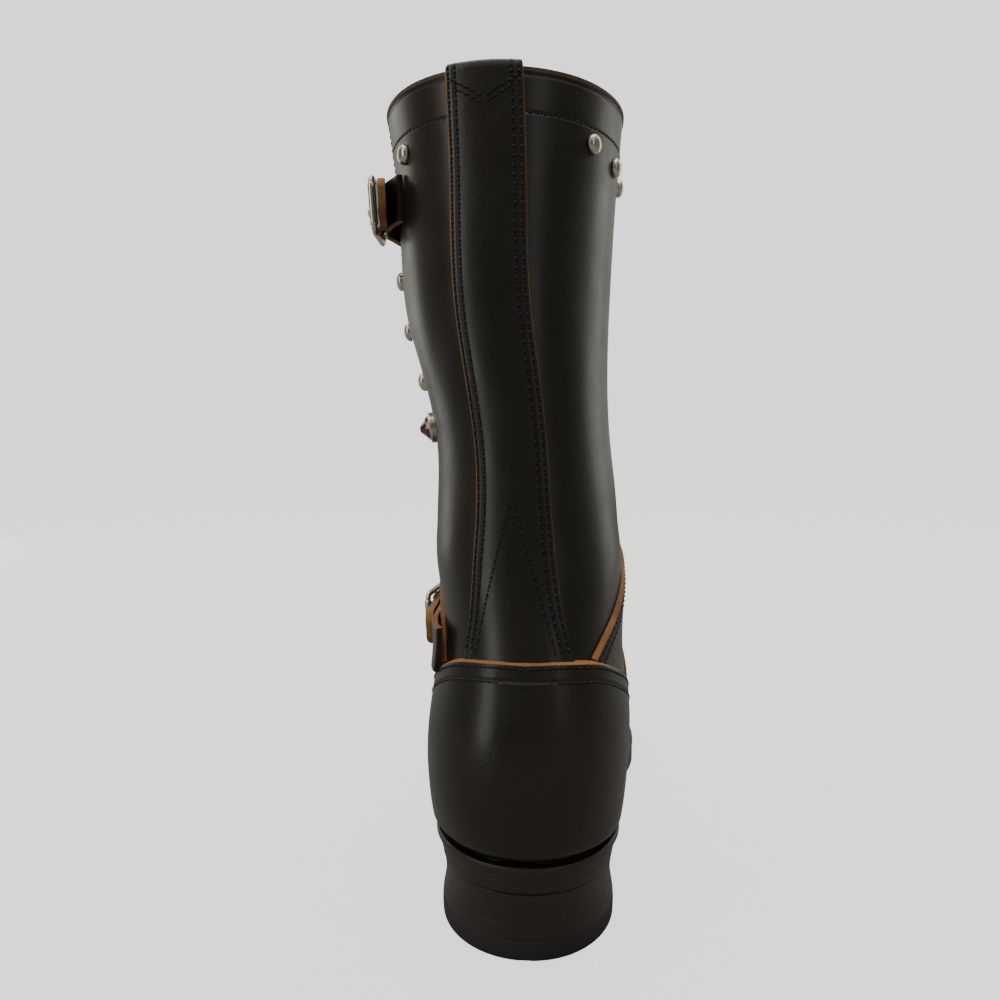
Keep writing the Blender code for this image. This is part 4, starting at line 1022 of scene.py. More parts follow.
def rubber_material():
    found = bpy.data.materials.get("rubber")
    if found:
        return found
    material, tree, shader, spot = new_material("rubber", IOR=1.45)
    dust = use_group(tree, "dust", {"Place": spot, "Amount": 0.25})
    colour = bpy.context.scene.boot_colours.rubber
    tone = blend(tree, cloud(tree, spot, 60.0, 4.0), opaque(colour, 0.75), opaque(colour, 1.25))
    tone = blend(tree, dust.outputs["Mask"], tone, opaque((0.14, 0.13, 0.12)))
    tree.links.new(tone, shader.inputs["Base Color"])
    fine = cloud(tree, spot, 1300.0, 3.0)
    tree.links.new(between(tree, fine, 0.2, 0.8, 0.48, 0.66), shader.inputs["Roughness"])
    relief(tree, shader, calc(tree, "MULTIPLY", fine, 0.00004))
    return material


def thread_material():
    found = bpy.data.materials.get("waxed thread")
    if found:
        return found
    material, tree, shader, spot = new_material("waxed thread", Specular_IOR_Level=0.28)
    colour = bpy.context.scene.boot_colours.thread
    fine = cloud(tree, spot, 2600.0, 2.0)
    tree.links.new(blend(tree, fine, opaque(colour, 0.5), opaque(colour, 1.5)),
                   shader.inputs["Base Color"])
    tree.links.new(between(tree, fine, 0.2, 0.8, 0.34, 0.55), shader.inputs["Roughness"])
    relief(tree, shader, calc(tree, "MULTIPLY", fine, 0.00004))
    return material


def hole_shade_material():
    found = bpy.data.materials.get("painted hole shade")
    if found:
        return found
    material, tree, shader, spot = new_material("painted hole shade", Roughness=0.9)
    fine = cloud(tree, spot, 1500.0, 2.0)
    # Painted shade: near-black colour that stands in for the shade inside a stitch or punched hole.
    dark = blend(tree, fine, (0.0015, 0.0013, 0.0012, 1), (0.006, 0.005, 0.004, 1))
    tree.links.new(dark, shader.inputs["Base Color"])
    return material


def nickel_material():
    found = bpy.data.materials.get("nickel")
    if found:
        return found
    material, tree, shader, spot = new_material("nickel", Metallic=1.0)
    colour = bpy.context.scene.boot_colours.nickel
    dull = between(tree, cloud(tree, spot, 420.0, 4.0, 0.6), 0.45, 0.72)
    tree.links.new(blend(tree, dull, opaque(colour), (0.46, 0.39, 0.27, 1)),
                   shader.inputs["Base Color"])
    scratch = cloud(tree, stretched(tree, spot, (2400, 500, 900)), 1.0, 3.0)
    gloss = between(tree, scratch, 0.25, 0.75, 0.26, 0.40)
    tree.links.new(gloss, shader.inputs["Roughness"])
    relief(tree, shader, calc(tree, "MULTIPLY", scratch, 0.000003))
    return material


def stone_material():
    found = bpy.data.materials.get("red stone")
    if found:
        return found
    material, tree, shader, spot = new_material(
        "red stone", IOR=1.62, Coat_Weight=0.6, Coat_Roughness=0.04)
    colour = bpy.context.scene.boot_colours.stone
    depth = cloud(tree, spot, 380.0, 2.0)
    tree.links.new(blend(tree, depth, opaque(colour, 0.5), opaque(colour, 2.2)),
                   shader.inputs["Base Color"])
    tree.links.new(between(tree, depth, 0.2, 0.8, 0.05, 0.14), shader.inputs["Roughness"])
    return material


def leather_slots(name, insets=(), **values):
    """Grain, cut edge and flesh side of one piece of leather."""
    colours = bpy.context.scene.boot_colours
    return (leather_material(name, insets, **values),
            fibre_material("raw leather edge", colours.edge),
            fibre_material("flesh side", colours.flesh, 0.7, 350.0, 0.00012, 0.85))


class BOOT_OT_upper(bpy.types.Operator):
    """Adds the shaft and foot, with the collar's rubbed edge and the flesh side within"""

    bl_idname = "boot.upper"
    bl_label = "Upper"

    def execute(self, context):
        sizes, colours = context.scene.boot_sizes, context.scene.boot_colours
        collar = np.array([0.071, 0.066, 0.016, 0.0])
        v = np.concatenate([np.linspace(0, TOP_RUNG - collar[0] - 0.08, 205), TOP_RUNG - collar])
        u = np.linspace(1, 0, 161)
        v, u = np.meshgrid(v, u, indexing="ij")
        off = np.zeros(v.shape)
        off[-4:] = np.array([0.0, 0.0004, 0.0004, -0.0007])[:, None]
        outer = laid(v, u, off)
        inner = laid(v, u, -sizes.upper)
        edge = np.zeros((v.shape[0] - 1, v.shape[1] - 1), bool)
        edge[-3:] = True
        slots = (leather_material("shaft leather", (0.0162, 0.0030)),
                 fibre_material("collar edge", colours.collar, 0.6),
                 fibre_material("flesh side", colours.flesh, 0.7, 350.0, 0.00012, 0.85))
        rim = np.maximum(TOP_HEIGHT - outer[..., 2], 0)
        piece = leather_sheet("boot_upper", outer, inner, slots, rim, edge=edge)
        finish_piece(piece, "leather", "upper")
        return {"FINISHED"}


class BOOT_OT_counter(bpy.types.Operator):
    """Adds the counter round the heel, with its thick raw top edge"""

    bl_idname = "boot.counter"
    bl_label = "Counter"

    def execute(self, context):
        height = context.scene.boot_sizes.counter
        shifts, heights = cut_edge(height, 0.0016)
        count, rows = 91, 46
        front = place(*COUNTER_EDGE[0])[0]
        fine = np.linspace(0, HEEL_RUNG, 400)
        feather = -spline(RUNG_ROWS, 1, fine)
        start = np.interp(front, fine, feather)
        shares = start * (1 - np.linspace(0, 1, count)) ** 1.15
        base_v = np.interp(-shares, -feather, fine)
        vs, us, offs = [], [], []
        edge_v, edge_u = side_curve(COUNTER_EDGE, shifts[0], count)
        edge_u[-1] = 0.0
        # Round the heel the counter's foot draws in over the welt's channel.
        drawn = 0.85 * (1 - smoothstep((shares - 0.18) / 0.10))
        for w in np.linspace(0, 1, rows):
            vs.append(base_v + (edge_v - base_v) * w)
            us.append(edge_u * w)
            spots = form_point(vs[-1], us[-1])
            lift = spots[:, 2] - feather_height(spots[:, 1])
            offs.append(height * (1 - drawn * (1 - smoothstep(lift / 0.0055))))
        for shift, off in zip(shifts[1:], heights[::-1][1:]):
            edge_v, edge_u = side_curve(COUNTER_EDGE, shift, count)
            edge_u[-1] = 0.0
            vs.append(edge_v)
            us.append(edge_u)
            offs.append(np.full(count, off))
        v, u = mirrored(np.array(vs), np.array(us))
        off = np.concatenate([offs, np.array(offs)[:, ::-1]], 1)
        outer = laid(v, u, off)
        inner = laid(v, u, 0.0002)
        rim = np.linalg.norm(outer - outer[-1][None], axis=-1)
        edge = np.zeros((v.shape[0] - 1, v.shape[1] - 1), bool)
        edge[-len(shifts) + 1 :] = True
        slots = leather_slots("counter leather", (0.0029, 0.0080), reddish=0.6)
        piece = leather_sheet("boot_counter", outer, inner, slots, rim, edge=edge)
        finish_piece(piece, "leather", "counter")
        return {"FINISHED"}


class BOOT_OT_vamp(bpy.types.Operator):
    """Adds the vamp over the toe and the instep, with its wings back to the counter"""

    bl_idname = "boot.vamp"
    bl_label = "Vamp"

    def execute(self, context):
        height = context.scene.boot_sizes.vamp
        outer_half = self.half_vamp(VAMP_EDGE_OUTER, height)
        inner_half = self.half_vamp(VAMP_EDGE, height)
        # Rows run from the toe up, and columns from the inner side to the outer side.
        v, u, off = (np.concatenate([b, a[:, ::-1]], 1) for a, b in (
            (outer_half[0], inner_half[0]), (outer_half[1], 1 - inner_half[1]),
            (outer_half[2], inner_half[2])))
        foot, band = self.foot, self.edge_steps - 1
        outer = laid(v, u, off)
        inner = laid(v, u, 0.0002)
        half = v.shape[1] // 2
        border = outer[foot - 1 :, half]
        rim = np.full(v.shape, 1.0)
        rim[:, :half] = nearest(outer[:, :half], outer[foot - 1 :, half - 1])
        rim[:, half:] = nearest(outer[:, half:], border)
        edge = np.zeros((v.shape[0] - 1, v.shape[1] - 1), bool)
        edge[foot - 1 :, half - band - 1 : half + band] = True
        slots = leather_slots("vamp leather", (0.0026, 0.0052), reddish=0.3)
        piece = leather_sheet("boot_vamp", outer, inner, slots, rim, edge=edge, split=half - 1)
        finish_piece(piece, "leather", "vamp")
        return {"FINISHED"}

    foot = 112
    edge_steps = 4

    def half_vamp(self, table, height):
        """Rungs, stations and heights of one half, from the feather edge to the ridge."""
        shifts, heights = cut_edge(height, 0.0013, self.edge_steps)
        foot, wing, columns = self.foot, 64, 52
        under_v, under_u = side_curve(COUNTER_EDGE, 0.0030, 200)
        tip = int(np.argmin(np.abs(form_point(under_v, under_u)[:, 1] - table[-1][0])))
        at = np.linspace(0, tip, wing)
        low_v = np.interp(at, np.arange(200), under_v)
        low_u = np.interp(at, np.arange(200), under_u)
        low_v = np.concatenate([np.linspace(0, low_v[0], foot)[:-1], low_v])
        low_u = np.concatenate([np.zeros(foot - 1), low_u])
        high = []
        for shift in shifts:
            top_v, top_u = side_curve(table, shift, wing)
            top_u[0] = 0.5
            high.append((top_v, top_u))
        ridge = np.linspace(0, high[0][0][0], foot)[:-1]
        vs, us, offs = [], [], []
        for w in np.linspace(0, 1, columns):
            vs.append(low_v + (np.concatenate([ridge, high[0][0]]) - low_v) * w)
            us.append(low_u + (np.concatenate([np.full(foot - 1, 0.5), high[0][1]]) - low_u) * w)
            offs.append(np.full(len(low_v), height))
        for (top_v, top_u), off in zip(high[1:], heights[::-1][1:]):
            vs.append(np.concatenate([ridge, top_v]))
            us.append(np.concatenate([np.full(foot - 1, 0.5), top_u]))
            offs.append(np.concatenate([np.full(foot - 1, height), np.full(wing, off)]))
        return np.array(vs).T, np.array(us).T, np.array(offs).T


def nearest(points, line):
    """Distance of each point of a grid from the nearest point of a line."""
    away = np.linalg.norm(points[:, :, None, :] - line[None, None], axis=-1)
    return away.min(-1)


def stay_half(z, width):
    return width / 2 * spline(STAY_SIDES, 1, z)


def stay_middle(z):
    return float(spline(STAY_SIDES, 2, z))


class BOOT_OT_back_stay(bpy.types.Operator):
    """Adds the stay up the back seam, folded over the collar as the pull tab"""

    bl_idname = "boot.back_stay"
    bl_label = "Back stay"

    def execute(self, context):
        sizes = context.scene.boot_sizes
        shifts, heights = cut_edge(sizes.stay, 0.0006)
        middle = np.linspace(1, -1, 17)[1:-1]
        outside, inside, fold = [], [], []
        near = 0.00015
        offs = np.concatenate([heights, np.full(len(middle), sizes.stay), heights[::-1]])

        def arcs_at(half):
            inner = np.sort(half - shifts)[::-1]
            outer = np.sort(half - shifts * 2.1)[::-1]
            across = (outer[-1] + inner[-1]) / 2 * middle + (outer[-1] - inner[-1]) / 2
            return np.concatenate([outer, across, -inner[::-1]])

        for z in np.concatenate([np.linspace(0.104, 0.170, 34), np.linspace(0.1735, 0.322, 62)]):
            arcs = arcs_at(float(stay_half(z, sizes.stay_width))) + stay_middle(z)
            v, u = leg_row(arcs, z)
            outside.append(laid(v, u, offs))
            inside.append(laid(v, u, near))
        half = sizes.stay_width / 2
        v, u = leg_row(arcs_at(half * 1.01) + stay_middle(TOP_HEIGHT), TOP_HEIGHT - 0.0006)
        out = form_normal(v, u)
        out[:, 2] = 0
        out /= np.linalg.norm(out, axis=1, keepdims=True)
        rim = laid(v, u, -sizes.upper / 2)
        rim[:, 2] = TOP_HEIGHT
        up = np.array([0, 0, 1.0])
        start = len(outside)
        for turn in np.linspace(12, 180, 12):
            c, d = math.cos(math.radians(turn)), math.sin(math.radians(turn))
            for rows, reach in ((outside, offs), (inside, np.full(len(offs), near))):
                side = (sizes.upper / 2 + reach)[:, None]
                rows.append(rim + out * c * side + up * d * (reach[:, None] + 0.0002))
        fold = list(range(start, len(outside)))
        for z in np.linspace(TOP_HEIGHT - 0.003, TOP_HEIGHT - sizes.pull_tab, 14):
            v, u = leg_row(arcs_at(half * 0.98) + stay_middle(z), z)
            outside.append(laid(v, u, -sizes.upper - offs))
            inside.append(laid(v, u, -sizes.upper - near))
        outer, inner = np.array(outside), np.array(inside)
        sides = np.minimum(
            np.linalg.norm(outer - outer[:, :1], axis=-1),
            np.linalg.norm(outer - outer[:, -1:], axis=-1))
        # The top of the fold over the collar is marked to be painted lighter grey, as rubbed wear
        # and as a painted highlight.
        rub_and_sheen = np.zeros(sides.shape)
        rub_and_sheen[fold[0] + 1 : fold[-1] - 3] = 0.9
        rub_and_sheen[fold[0]] = rub_and_sheen[fold[-1] - 3] = 0.4
        edge = np.zeros((outer.shape[0] - 1, outer.shape[1] - 1), bool)
        band = len(shifts) - 1
        edge[:, :band] = edge[:, -band:] = True
        slots = leather_slots("stay leather", (0.0019, 0.0046), reddish=0.2, reach=0.0005)
        piece = leather_sheet("boot_back_stay", outer, inner, slots, sides, rub_and_sheen, edge)
        finish_piece(piece, "leather", "back_stay")
        return {"FINISHED"}


def strap_sheet(name, spot, stations, width, round_start, round_end, raw_ends=True):
    """Strap with raw edges. spot(station, across, off) gives a point, with across in metres
    and off as a share of the thickness; a rounded end is cut to a soft point."""
    bevel = 0.00035
    first, last = stations[0], stations[-1]
    offs_at_edge = np.array([0.04, 0.45, 0.88])
    across = np.linspace(-1, 1, 15)
    rows, offs, rims = [], [], []
    run = list(stations)
    for k, at in enumerate([first] * 3 + run[1:-1] + [last] * 3):
        near = min((at - first) if round_start else 1.0, (last - at) if round_end else 1.0)
        reach = width / 2 * float(rounded((near + 0.0008) / (width * 0.42)))
        flat = np.concatenate([[-reach] * 3, across * (reach - bevel), [reach] * 3])
        height = np.concatenate([offs_at_edge, np.ones(len(across)), offs_at_edge[::-1]])
        if k < 3:
            height = np.minimum(height, offs_at_edge[k])
        if k >= len(run) + 1:
            height = np.minimum(height, offs_at_edge[len(run) + 3 - k])
        rows.append([(at, a) for a in flat])
        offs.append(height)
        rims.append(reach - np.abs(flat))
    rows, offs = np.array(rows), np.array(offs)
    outer = spot(rows[..., 0], rows[..., 1], offs)
    inner = spot(rows[..., 0], rows[..., 1], np.zeros(offs.shape))
    edge = np.zeros((outer.shape[0] - 1, outer.shape[1] - 1), bool)
    edge[:, :2] = edge[:, -2:] = True
    edge[:2] = edge[-2:] = raw_ends
    rim = np.array(rims)
    slots = leather_slots("strap leather")
    piece = leather_sheet(name, outer, inner, slots, rim, edge=edge)
    in_edit_mode(piece, merge_doubles, face_out)
    return piece


def top_strap_field(lifts):
    """Function that gives points of a band round the shaft at the top strap's height."""
    levels = np.linspace(-0.0095, 0.0095, 9)
    arcs = np.linspace(0.030, 0.155, 126)
    fields = [leg_row(arcs, TOP_STRAP_HEIGHT + level) for level in levels]
    vs, us = np.array([f[0] for f in fields]), np.array([f[1] for f in fields])

    def read(field, arc, across):
        a = np.clip((arc - arcs[0]) / (arcs[1] - arcs[0]), 0, len(arcs) - 1.001)
        b = np.clip((across - levels[0]) / (levels[1] - levels[0]), 0, len(levels) - 1.001)
        i, j = b.astype(int), a.astype(int)
        p, q = b - i, a - j
        return ((field[i, j] * (1 - q) + field[i, j + 1] * q) * (1 - p)
                + (field[i + 1, j] * (1 - q) + field[i + 1, j + 1] * q) * p)

    def spot(arc, across, off, thickness):
        v, u = read(vs, arc, across), read(us, arc, across)
        return laid(v, u, spline(lifts, 1, arc) + off * thickness)

    return spot


def course_field(course):
    """Function that gives points of a strap over the instep, and the strap's length."""
    rows = []
    for forward, up, side, off in course:
        v, u = place(forward, up)
        u = 0.5 if side == 0 else float(u)
        rows.append((float(v), 1 - u if side > 0 else u, off))
    rows = np.array(rows)
    steps = np.linalg.norm(np.diff(form_point(rows[:, 0], rows[:, 1]), axis=0), axis=1)
    run = np.concatenate([[0], np.cumsum(steps)])
    table = tuple((r, *row) for r, row in zip(run, rows))

    def spot(at, across, off, thickness):
        v, u = spline(table, 1, at), spline(table, 2, at)
        ahead = form_point(spline(table, 1, at + 5e-4), spline(table, 2, at + 5e-4))
        behind = form_point(spline(table, 1, at - 5e-4), spline(table, 2, at - 5e-4))
        cross = np.cross(form_normal(v, u), ahead - behind)
        cross /= np.linalg.norm(cross, axis=-1, keepdims=True)
        v, u = slide(v, u, cross * across[..., None])
        return laid(v, u, spline(table, 3, at) + off * thickness)

    return spot, float(run[-1])


class BOOT_OT_straps(bpy.types.Operator):
    """Adds the collar strap and the instep strap, each with the short piece that holds its buckle"""

    bl_idname = "boot.straps"
    bl_label = "Straps"

    def execute(self, context):
        thick = context.scene.boot_sizes.strap
        tip = np.array([0.0480, 0.0483, 0.0488, 0.0496, 0.0508, 0.0524, 0.0542])
        chape = thick * 0.8
        courses = [
            ("boot_top_strap", top_strap_field(TOP_STRAP_LIFT), thick,
             np.concatenate([tip, np.linspace(0.056, 0.142, 80)]), True, False, "top_strap"),
            ("boot_top_chape", top_strap_field(TOP_CHAPE_LIFT), chape,
             np.linspace(TOP_CHAPE_LIFT[0][0], 0.0664, 30), False, False, "top_chape"),
        ]
        spot, length = course_field(INSTEP_COURSE)
        tail = length - (tip[::-1] - tip[0])
        courses.append(("boot_instep_strap", spot, thick + 0.0005,
                        np.concatenate([np.linspace(0, tail[0] - 0.0018, 130), tail]),
                        False, True, "instep_strap"))
        spot, length = course_field(INSTEP_CHAPE)
        courses.append(("boot_instep_chape", spot, chape, np.linspace(0, length, 50),
                        False, False, "instep_chape"))
        for name, spot, depth, stations, start, end, node in courses:
            def laid_spot(at, across, off, spot=spot, depth=depth):
                return spot(at, across, off, depth)
            piece = strap_sheet(
                name, laid_spot, list(stations), STRAP_WIDTH, start, end, "chape" not in name)
            finish_piece(piece, "leather", node)
        return {"FINISHED"}


def bar(name, path, radius, closed=False, sides=14):
    """Round bar along a path of points, with rounded ends."""
    path = np.asarray(path, float)
    if closed:
        tangents = np.roll(path, -1, 0) - np.roll(path, 1, 0)
    else:
        tangents = np.gradient(path, axis=0)
        turn = np.linspace(0.12, math.pi / 2, 4)
        first = path[0] - tangents[0] / np.linalg.norm(tangents[0]) * radius * 0.5
        last = path[-1] + tangents[-1] / np.linalg.norm(tangents[-1]) * radius * 0.5
        caps_in = [first + (path[0] - first) * (1 - math.cos(t)) for t in turn]
        caps_out = [last + (path[-1] - last) * (1 - math.cos(t)) for t in turn[::-1]]
        path = np.concatenate([caps_in, path, caps_out])
        tangents = np.gradient(path, axis=0)
    tangents /= np.linalg.norm(tangents, axis=1, keepdims=True)
    reach = np.full(len(path), radius)
    if not closed:
        reach[:4] = radius * np.sin(turn)
        reach[-4:] = radius * np.sin(turn[::-1])
    side = np.cross(tangents[0], [0.31, 0.52, 0.79])
    rings = []
    turns = np.linspace(0, 2 * math.pi, sides + 1)
    for i, tangent in enumerate(tangents):
        side = side - tangent * np.dot(side, tangent)
        side /= np.linalg.norm(side)
        other = np.cross(tangent, side)
        ring = path[i] + reach[i] * (np.outer(np.cos(turns), side) + np.outer(np.sin(turns), other))
        ring[-1] = ring[0]
        rings.append(ring)
    if closed:
        gaps = np.linalg.norm(rings[-1][:-1] - rings[0][0], axis=1)
        ring = np.roll(rings[0][:-1], int(np.argmin(gaps)), axis=0)
        rings.append(np.concatenate([ring, ring[:1]]))
    else:
        rings.insert(0, np.repeat(path[:1], sides + 1, 0))
        rings.append(np.repeat(path[-1:], sides + 1, 0))
    obj = grid_object(name, np.array(rings))
    in_edit_mode(obj, merge_doubles, face_out)
    smooth(obj, 50)
    return obj


def join(name, pieces):
    bpy.ops.object.select_all(action="DESELECT")
    for piece in pieces:
        piece.select_set(True)
    bpy.context.view_layer.objects.active = pieces[0]
    bpy.ops.object.join()
    pieces[0].name = pieces[0].data.name = name
    return pieces[0]


class BOOT_OT_buckles(bpy.types.Operator):
    """Adds the two roller buckles: frame with roller, centre bar and prong"""

    bl_idname = "boot.buckles"
    bl_label = "Buckles"

    def execute(self, context):
        wire = context.scene.boot_sizes.wire
        metal = nickel_material()
        v, u = leg_row(np.array([0.0690]), TOP_STRAP_HEIGHT)
        v, u = float(v[0]), float(u[0])
        normal = form_normal(v, u)
        course = np.cross(normal, [0, 0, 1.0])
        course *= math.copysign(1, course[1]) / np.linalg.norm(course)
        prong = ((0.0, 0.0121), (0.006, 0.0119), (0.0120, 0.0108), (0.0136, 0.0102))
        self.buckle("top", form_point(v, u), normal, course, 0.0014, 0.0058, 0.0090, prong,
                    wire, metal)
        v, u = place(*INSTEP_BUCKLE)
        normal = form_normal(v, u)
        course = np.array([0.0, 1.0, 0.06])
        course -= normal * np.dot(course, normal)
        course /= np.linalg.norm(course)
        prong = ((0.0, 0.0132), (0.006, 0.0133), (0.0120, 0.0128), (0.0136, 0.0123))
        self.buckle("instep", form_point(v, u), normal, course, 0.0006, 0.0068, 0.0111, prong,
                    wire, metal)
        return {"FINISHED"}

    def buckle(self, prefix, middle, normal, course, tilt, centre, rails, prong, wire, metal):
        cross = np.cross(course, normal)
        length = 0.0125
        half = STRAP_WIDTH / 2 + wire + 0.0006

        def spot(a, b, c):
            return middle + course * a + cross * b + normal * c

        corner = 0.003
        frame_path = []
        for sa, sb in ((-1, -1), (-1, 1), (1, 1), (1, -1)):
            for turn in np.linspace(0, math.pi / 2, 7):
                c, d = math.cos(turn), math.sin(turn)
                if sa * sb > 0:
                    c, d = d, c
                a = sa * (length - corner + corner * c)
                b = sb * (half - corner + corner * d)
                frame_path.append(spot(a, b, rails - tilt * a / length))
        rail = bar("rail", frame_path, wire, closed=True)
        rollers = []
        for end in (-1, 1):
            reach = np.linspace(-(half - corner), half - corner, 8)
            path = [spot(end * length, b, rails - tilt * end) for b in reach]
            rollers.append(bar("roller", path, wire * 1.3, sides=18))
        frame_piece = join(f"boot_{prefix}_buckle_frame", [rail] + rollers)
        inside = half - wire * 0.5
        path = [spot(0, b, centre) for b in np.linspace(-inside, inside, 8)]
        centre_bar = bar(f"boot_{prefix}_buckle_bar", path, wire * 0.9)
        rows = [(a, a, c) for a, c in prong]
        path = [spot(a, 0, float(spline(rows, 2, a))) for a in np.linspace(0, prong[-1][0], 14)]
        turn = np.linspace(math.pi * 1.5, math.pi * 0.55, 9)
        rise = (prong[0][1] + centre) / 2
        reach = (prong[0][1] - centre) / 2
        eye = [spot(reach * math.cos(t) * 0.6, 0, rise + reach * math.sin(t)) for t in turn]
        prong_piece = bar(f"boot_{prefix}_buckle_prong", eye + path[1:], wire * 0.8)
        for piece, node in ((frame_piece, "frame"), (centre_bar, "bar"), (prong_piece, "prong")):
            piece.data.materials.clear()
            piece.data.materials.append(metal)
            finish_piece(piece, "nickel", f"{prefix}_buckle_{node}")


def place_on(obj, centre, normal, turn=0.0):
    """Moves a mesh modelled at the origin, facing +Z, to a place on the boot."""
    facing = Vector(normal).to_track_quat("Z", "Y").to_matrix().to_4x4()
    spin = Matrix.Rotation(turn, 4, "Z")
    obj.data.transform(Matrix.Translation(Vector(centre)) @ facing @ spin)
    obj.data.update()


def copy_of(obj, name):
    made = obj.copy()
    made.data = obj.data.copy()
    made.name = made.data.name = name
    bpy.context.scene.collection.objects.link(made)
    return made


class BOOT_OT_studs(bpy.types.Operator):
    """Adds the domed studs below the collar and down the outer side"""

    bl_idname = "boot.studs"
    bl_label = "Studs"

    def execute(self, context):
        radius = context.scene.boot_sizes.stud
        bpy.ops.object.select_all(action="DESELECT")
        bpy.ops.mesh.primitive_uv_sphere_add(segments=32, ring_count=20, radius=radius)
        dome = bpy.context.object
        in_edit_mode(dome, lambda: bpy.ops.mesh.bisect(
            plane_co=(0, 0, 0), plane_no=(0, 0, 1), use_fill=True, clear_inner=True))
        lift, flange = 0.0006, 0.00012
        top = 0.0028 - lift
        for vert in dome.data.vertices:
            x, y, z = vert.co
            vert.co.z = z / radius * top + lift if z > 1e-6 else lift
        in_edit_mode(dome, lambda: bpy.ops.mesh.select_all(action="DESELECT"))
        base = [face for face in dome.data.polygons if face.normal.z < -0.9]
        for face in base:
            face.select = True
        select_only(dome)
        bpy.ops.object.mode_set(mode="EDIT")
        bpy.ops.mesh.inset(thickness=-flange)
        bpy.ops.mesh.extrude_region_move(TRANSFORM_OT_translate={"value": (0, 0, -lift)})
        bpy.ops.object.mode_set(mode="OBJECT")
        in_edit_mode(dome, merge_doubles, face_out)
        smooth(dome, 35)
        dome.data.materials.append(nickel_material())
        for i, (arc, z) in enumerate(STUDS):
            v, u = leg_row(np.array([arc]), z)
            stud = copy_of(dome, f"boot_stud_{i + 1:02d}")
            place_on(stud, laid(v, u, 0.0002)[0], form_normal(v, u)[0], i * 1.3)
            finish_piece(stud, "nickel", f"stud_{i + 1:02d}")
        bpy.data.objects.remove(dome)
        return {"FINISHED"}


class BOOT_OT_jewel(bpy.types.Operator):
    """Adds the red stone on the outer side, held by a metal seat with claws"""

    bl_idname = "boot.jewel"
    bl_label = "Jewel"

    def execute(self, context):
        arc, z = JEWEL_PLACE
        v, u = leg_row(np.array([arc]), z)
        normal, foot = form_normal(v, u)[0], laid(v, u, 0.0002)[0]
        seat, rise, radius = 0.0064, 0.0022, 0.0047
        bpy.ops.object.select_all(action="DESELECT")
        bpy.ops.mesh.primitive_cylinder_add(
            vertices=36, radius=seat, depth=rise, location=(0, 0, rise / 2))
        setting = bpy.context.object
        bpy.ops.object.transform_apply(location=True)
        for face in setting.data.polygons:
            face.select = face.normal.z > 0.9
        bpy.ops.object.mode_set(mode="EDIT")
        bpy.ops.mesh.select_mode(type="FACE")
        bpy.ops.mesh.inset(thickness=seat - radius - 0.0002)
        bpy.ops.mesh.extrude_region_move(TRANSFORM_OT_translate={"value": (0, 0, -rise * 0.5)})
        bpy.ops.object.mode_set(mode="OBJECT")
        apply_modifier(setting, "BEVEL", width=0.00035, segments=3, limit_method="ANGLE")
        claws = []
        for k in range(6):
            t = 2 * math.pi * k / 6
            out = np.array([math.cos(t), math.sin(t), 0])
            path = [out * (radius + 0.0008) + [0, 0, 0.0008], out * (radius + 0.0007) + [0, 0, rise],
                    out * (radius + 0.0001) + [0, 0, rise + 0.0008],
                    out * (radius - 0.0007) + [0, 0, rise + 0.0012]]
            claws.append(bar("claw", path, 0.00045, sides=8))
        setting = join("boot_jewel_setting", [setting] + claws)
        setting.data.materials.clear()
        setting.data.materials.append(nickel_material())
        smooth(setting, 35)
        place_on(setting, foot, normal)
        finish_piece(setting, "nickel", "jewel_setting")
        bpy.ops.object.select_all(action="DESELECT")
        bpy.ops.mesh.primitive_cone_add(
            vertices=10, radius1=radius, radius2=0.0012, depth=0.0042,
            location=(0, 0, rise + 0.0021 - 0.0002))
        stone = bpy.context.object
        bpy.ops.object.transform_apply(location=True)
        in_edit_mode(stone, lambda: bpy.ops.mesh.bisect(
            plane_co=(0, 0, rise + 0.0014), plane_no=(0, 0, 1)))
        for vert in stone.data.vertices:
            if abs(vert.co.z - rise - 0.0014) < 1e-5:
                vert.co.x *= 1.16
                vert.co.y *= 1.16
        apply_modifier(stone, "BEVEL", width=0.00018, segments=1, limit_method="ANGLE",
                       angle_limit=0.2)
        stone.name = stone.data.name = "boot_jewel"
        stone.data.materials.append(stone_material())
        place_on(stone, foot, normal, 0.3)
        finish_piece(stone, "stone", "jewel")
        return {"FINISHED"}


def sole_outline(edge_share=0.0, inset=0.0, count=120):
    """Plan outline of the feather edge, moved in or out by a share of the welt's reach."""
    turn = np.linspace(0, math.pi, count + 1)
    shares = (1 - np.cos(turn)) / 2
    shares = shares[:-1] * 0.9988 + 0.0006
    medial = np.stack([plan_half(shares, 1), along(shares)], -1)
    lateral = np.stack([-plan_half(shares, -1), along(shares)], -1)[::-1]
    loop = np.concatenate([medial, lateral])
    tangent = np.roll(loop, -1, 0) - np.roll(loop, 1, 0)
    normal = np.stack([tangent[:, 1], -tangent[:, 0]], -1)
    normal /= np.linalg.norm(normal, axis=1, keepdims=True)
    reach = WELT_REACH * edge_share * spline(EDGE, 1, share_of(loop[:, 1]))
    return loop + normal * (reach - inset)[:, None]


def ring_solid(name, rings, material, capped=True, angle=40):
    """Solid from stacked closed loops, capped to its long middle line or joined round."""
    rows = [np.concatenate([ring, ring[:1]]) for ring in rings]
    if capped:
        for end in (0, -1):
            ring = rings[end]
            spine = (ring + ring[::-1]) / 2
            spine[:, 0] = 0.35 * spine[:, 0]
            cap = np.concatenate([spine, spine[:1]])
            rows = [cap] + rows if end == 0 else rows + [cap]
    else:
        rows.append(rows[0])
    obj = grid_object(name, np.array(rows))
    in_edit_mode(obj, merge_doubles, face_out)
    obj.data.materials.append(material)
    smooth(obj, angle)
    return obj


def edge_rows(low, high, round_off=0.0006):
    """Insets and heights of a layer's rounded edge."""
    turn = np.linspace(0, math.pi / 2, 4)
    rows = [(round_off * (1 - math.sin(t)), low + round_off * (1 - math.cos(t))) for t in turn]
    return rows + [(inset, low + high - height) for inset, height in rows[::-1]]


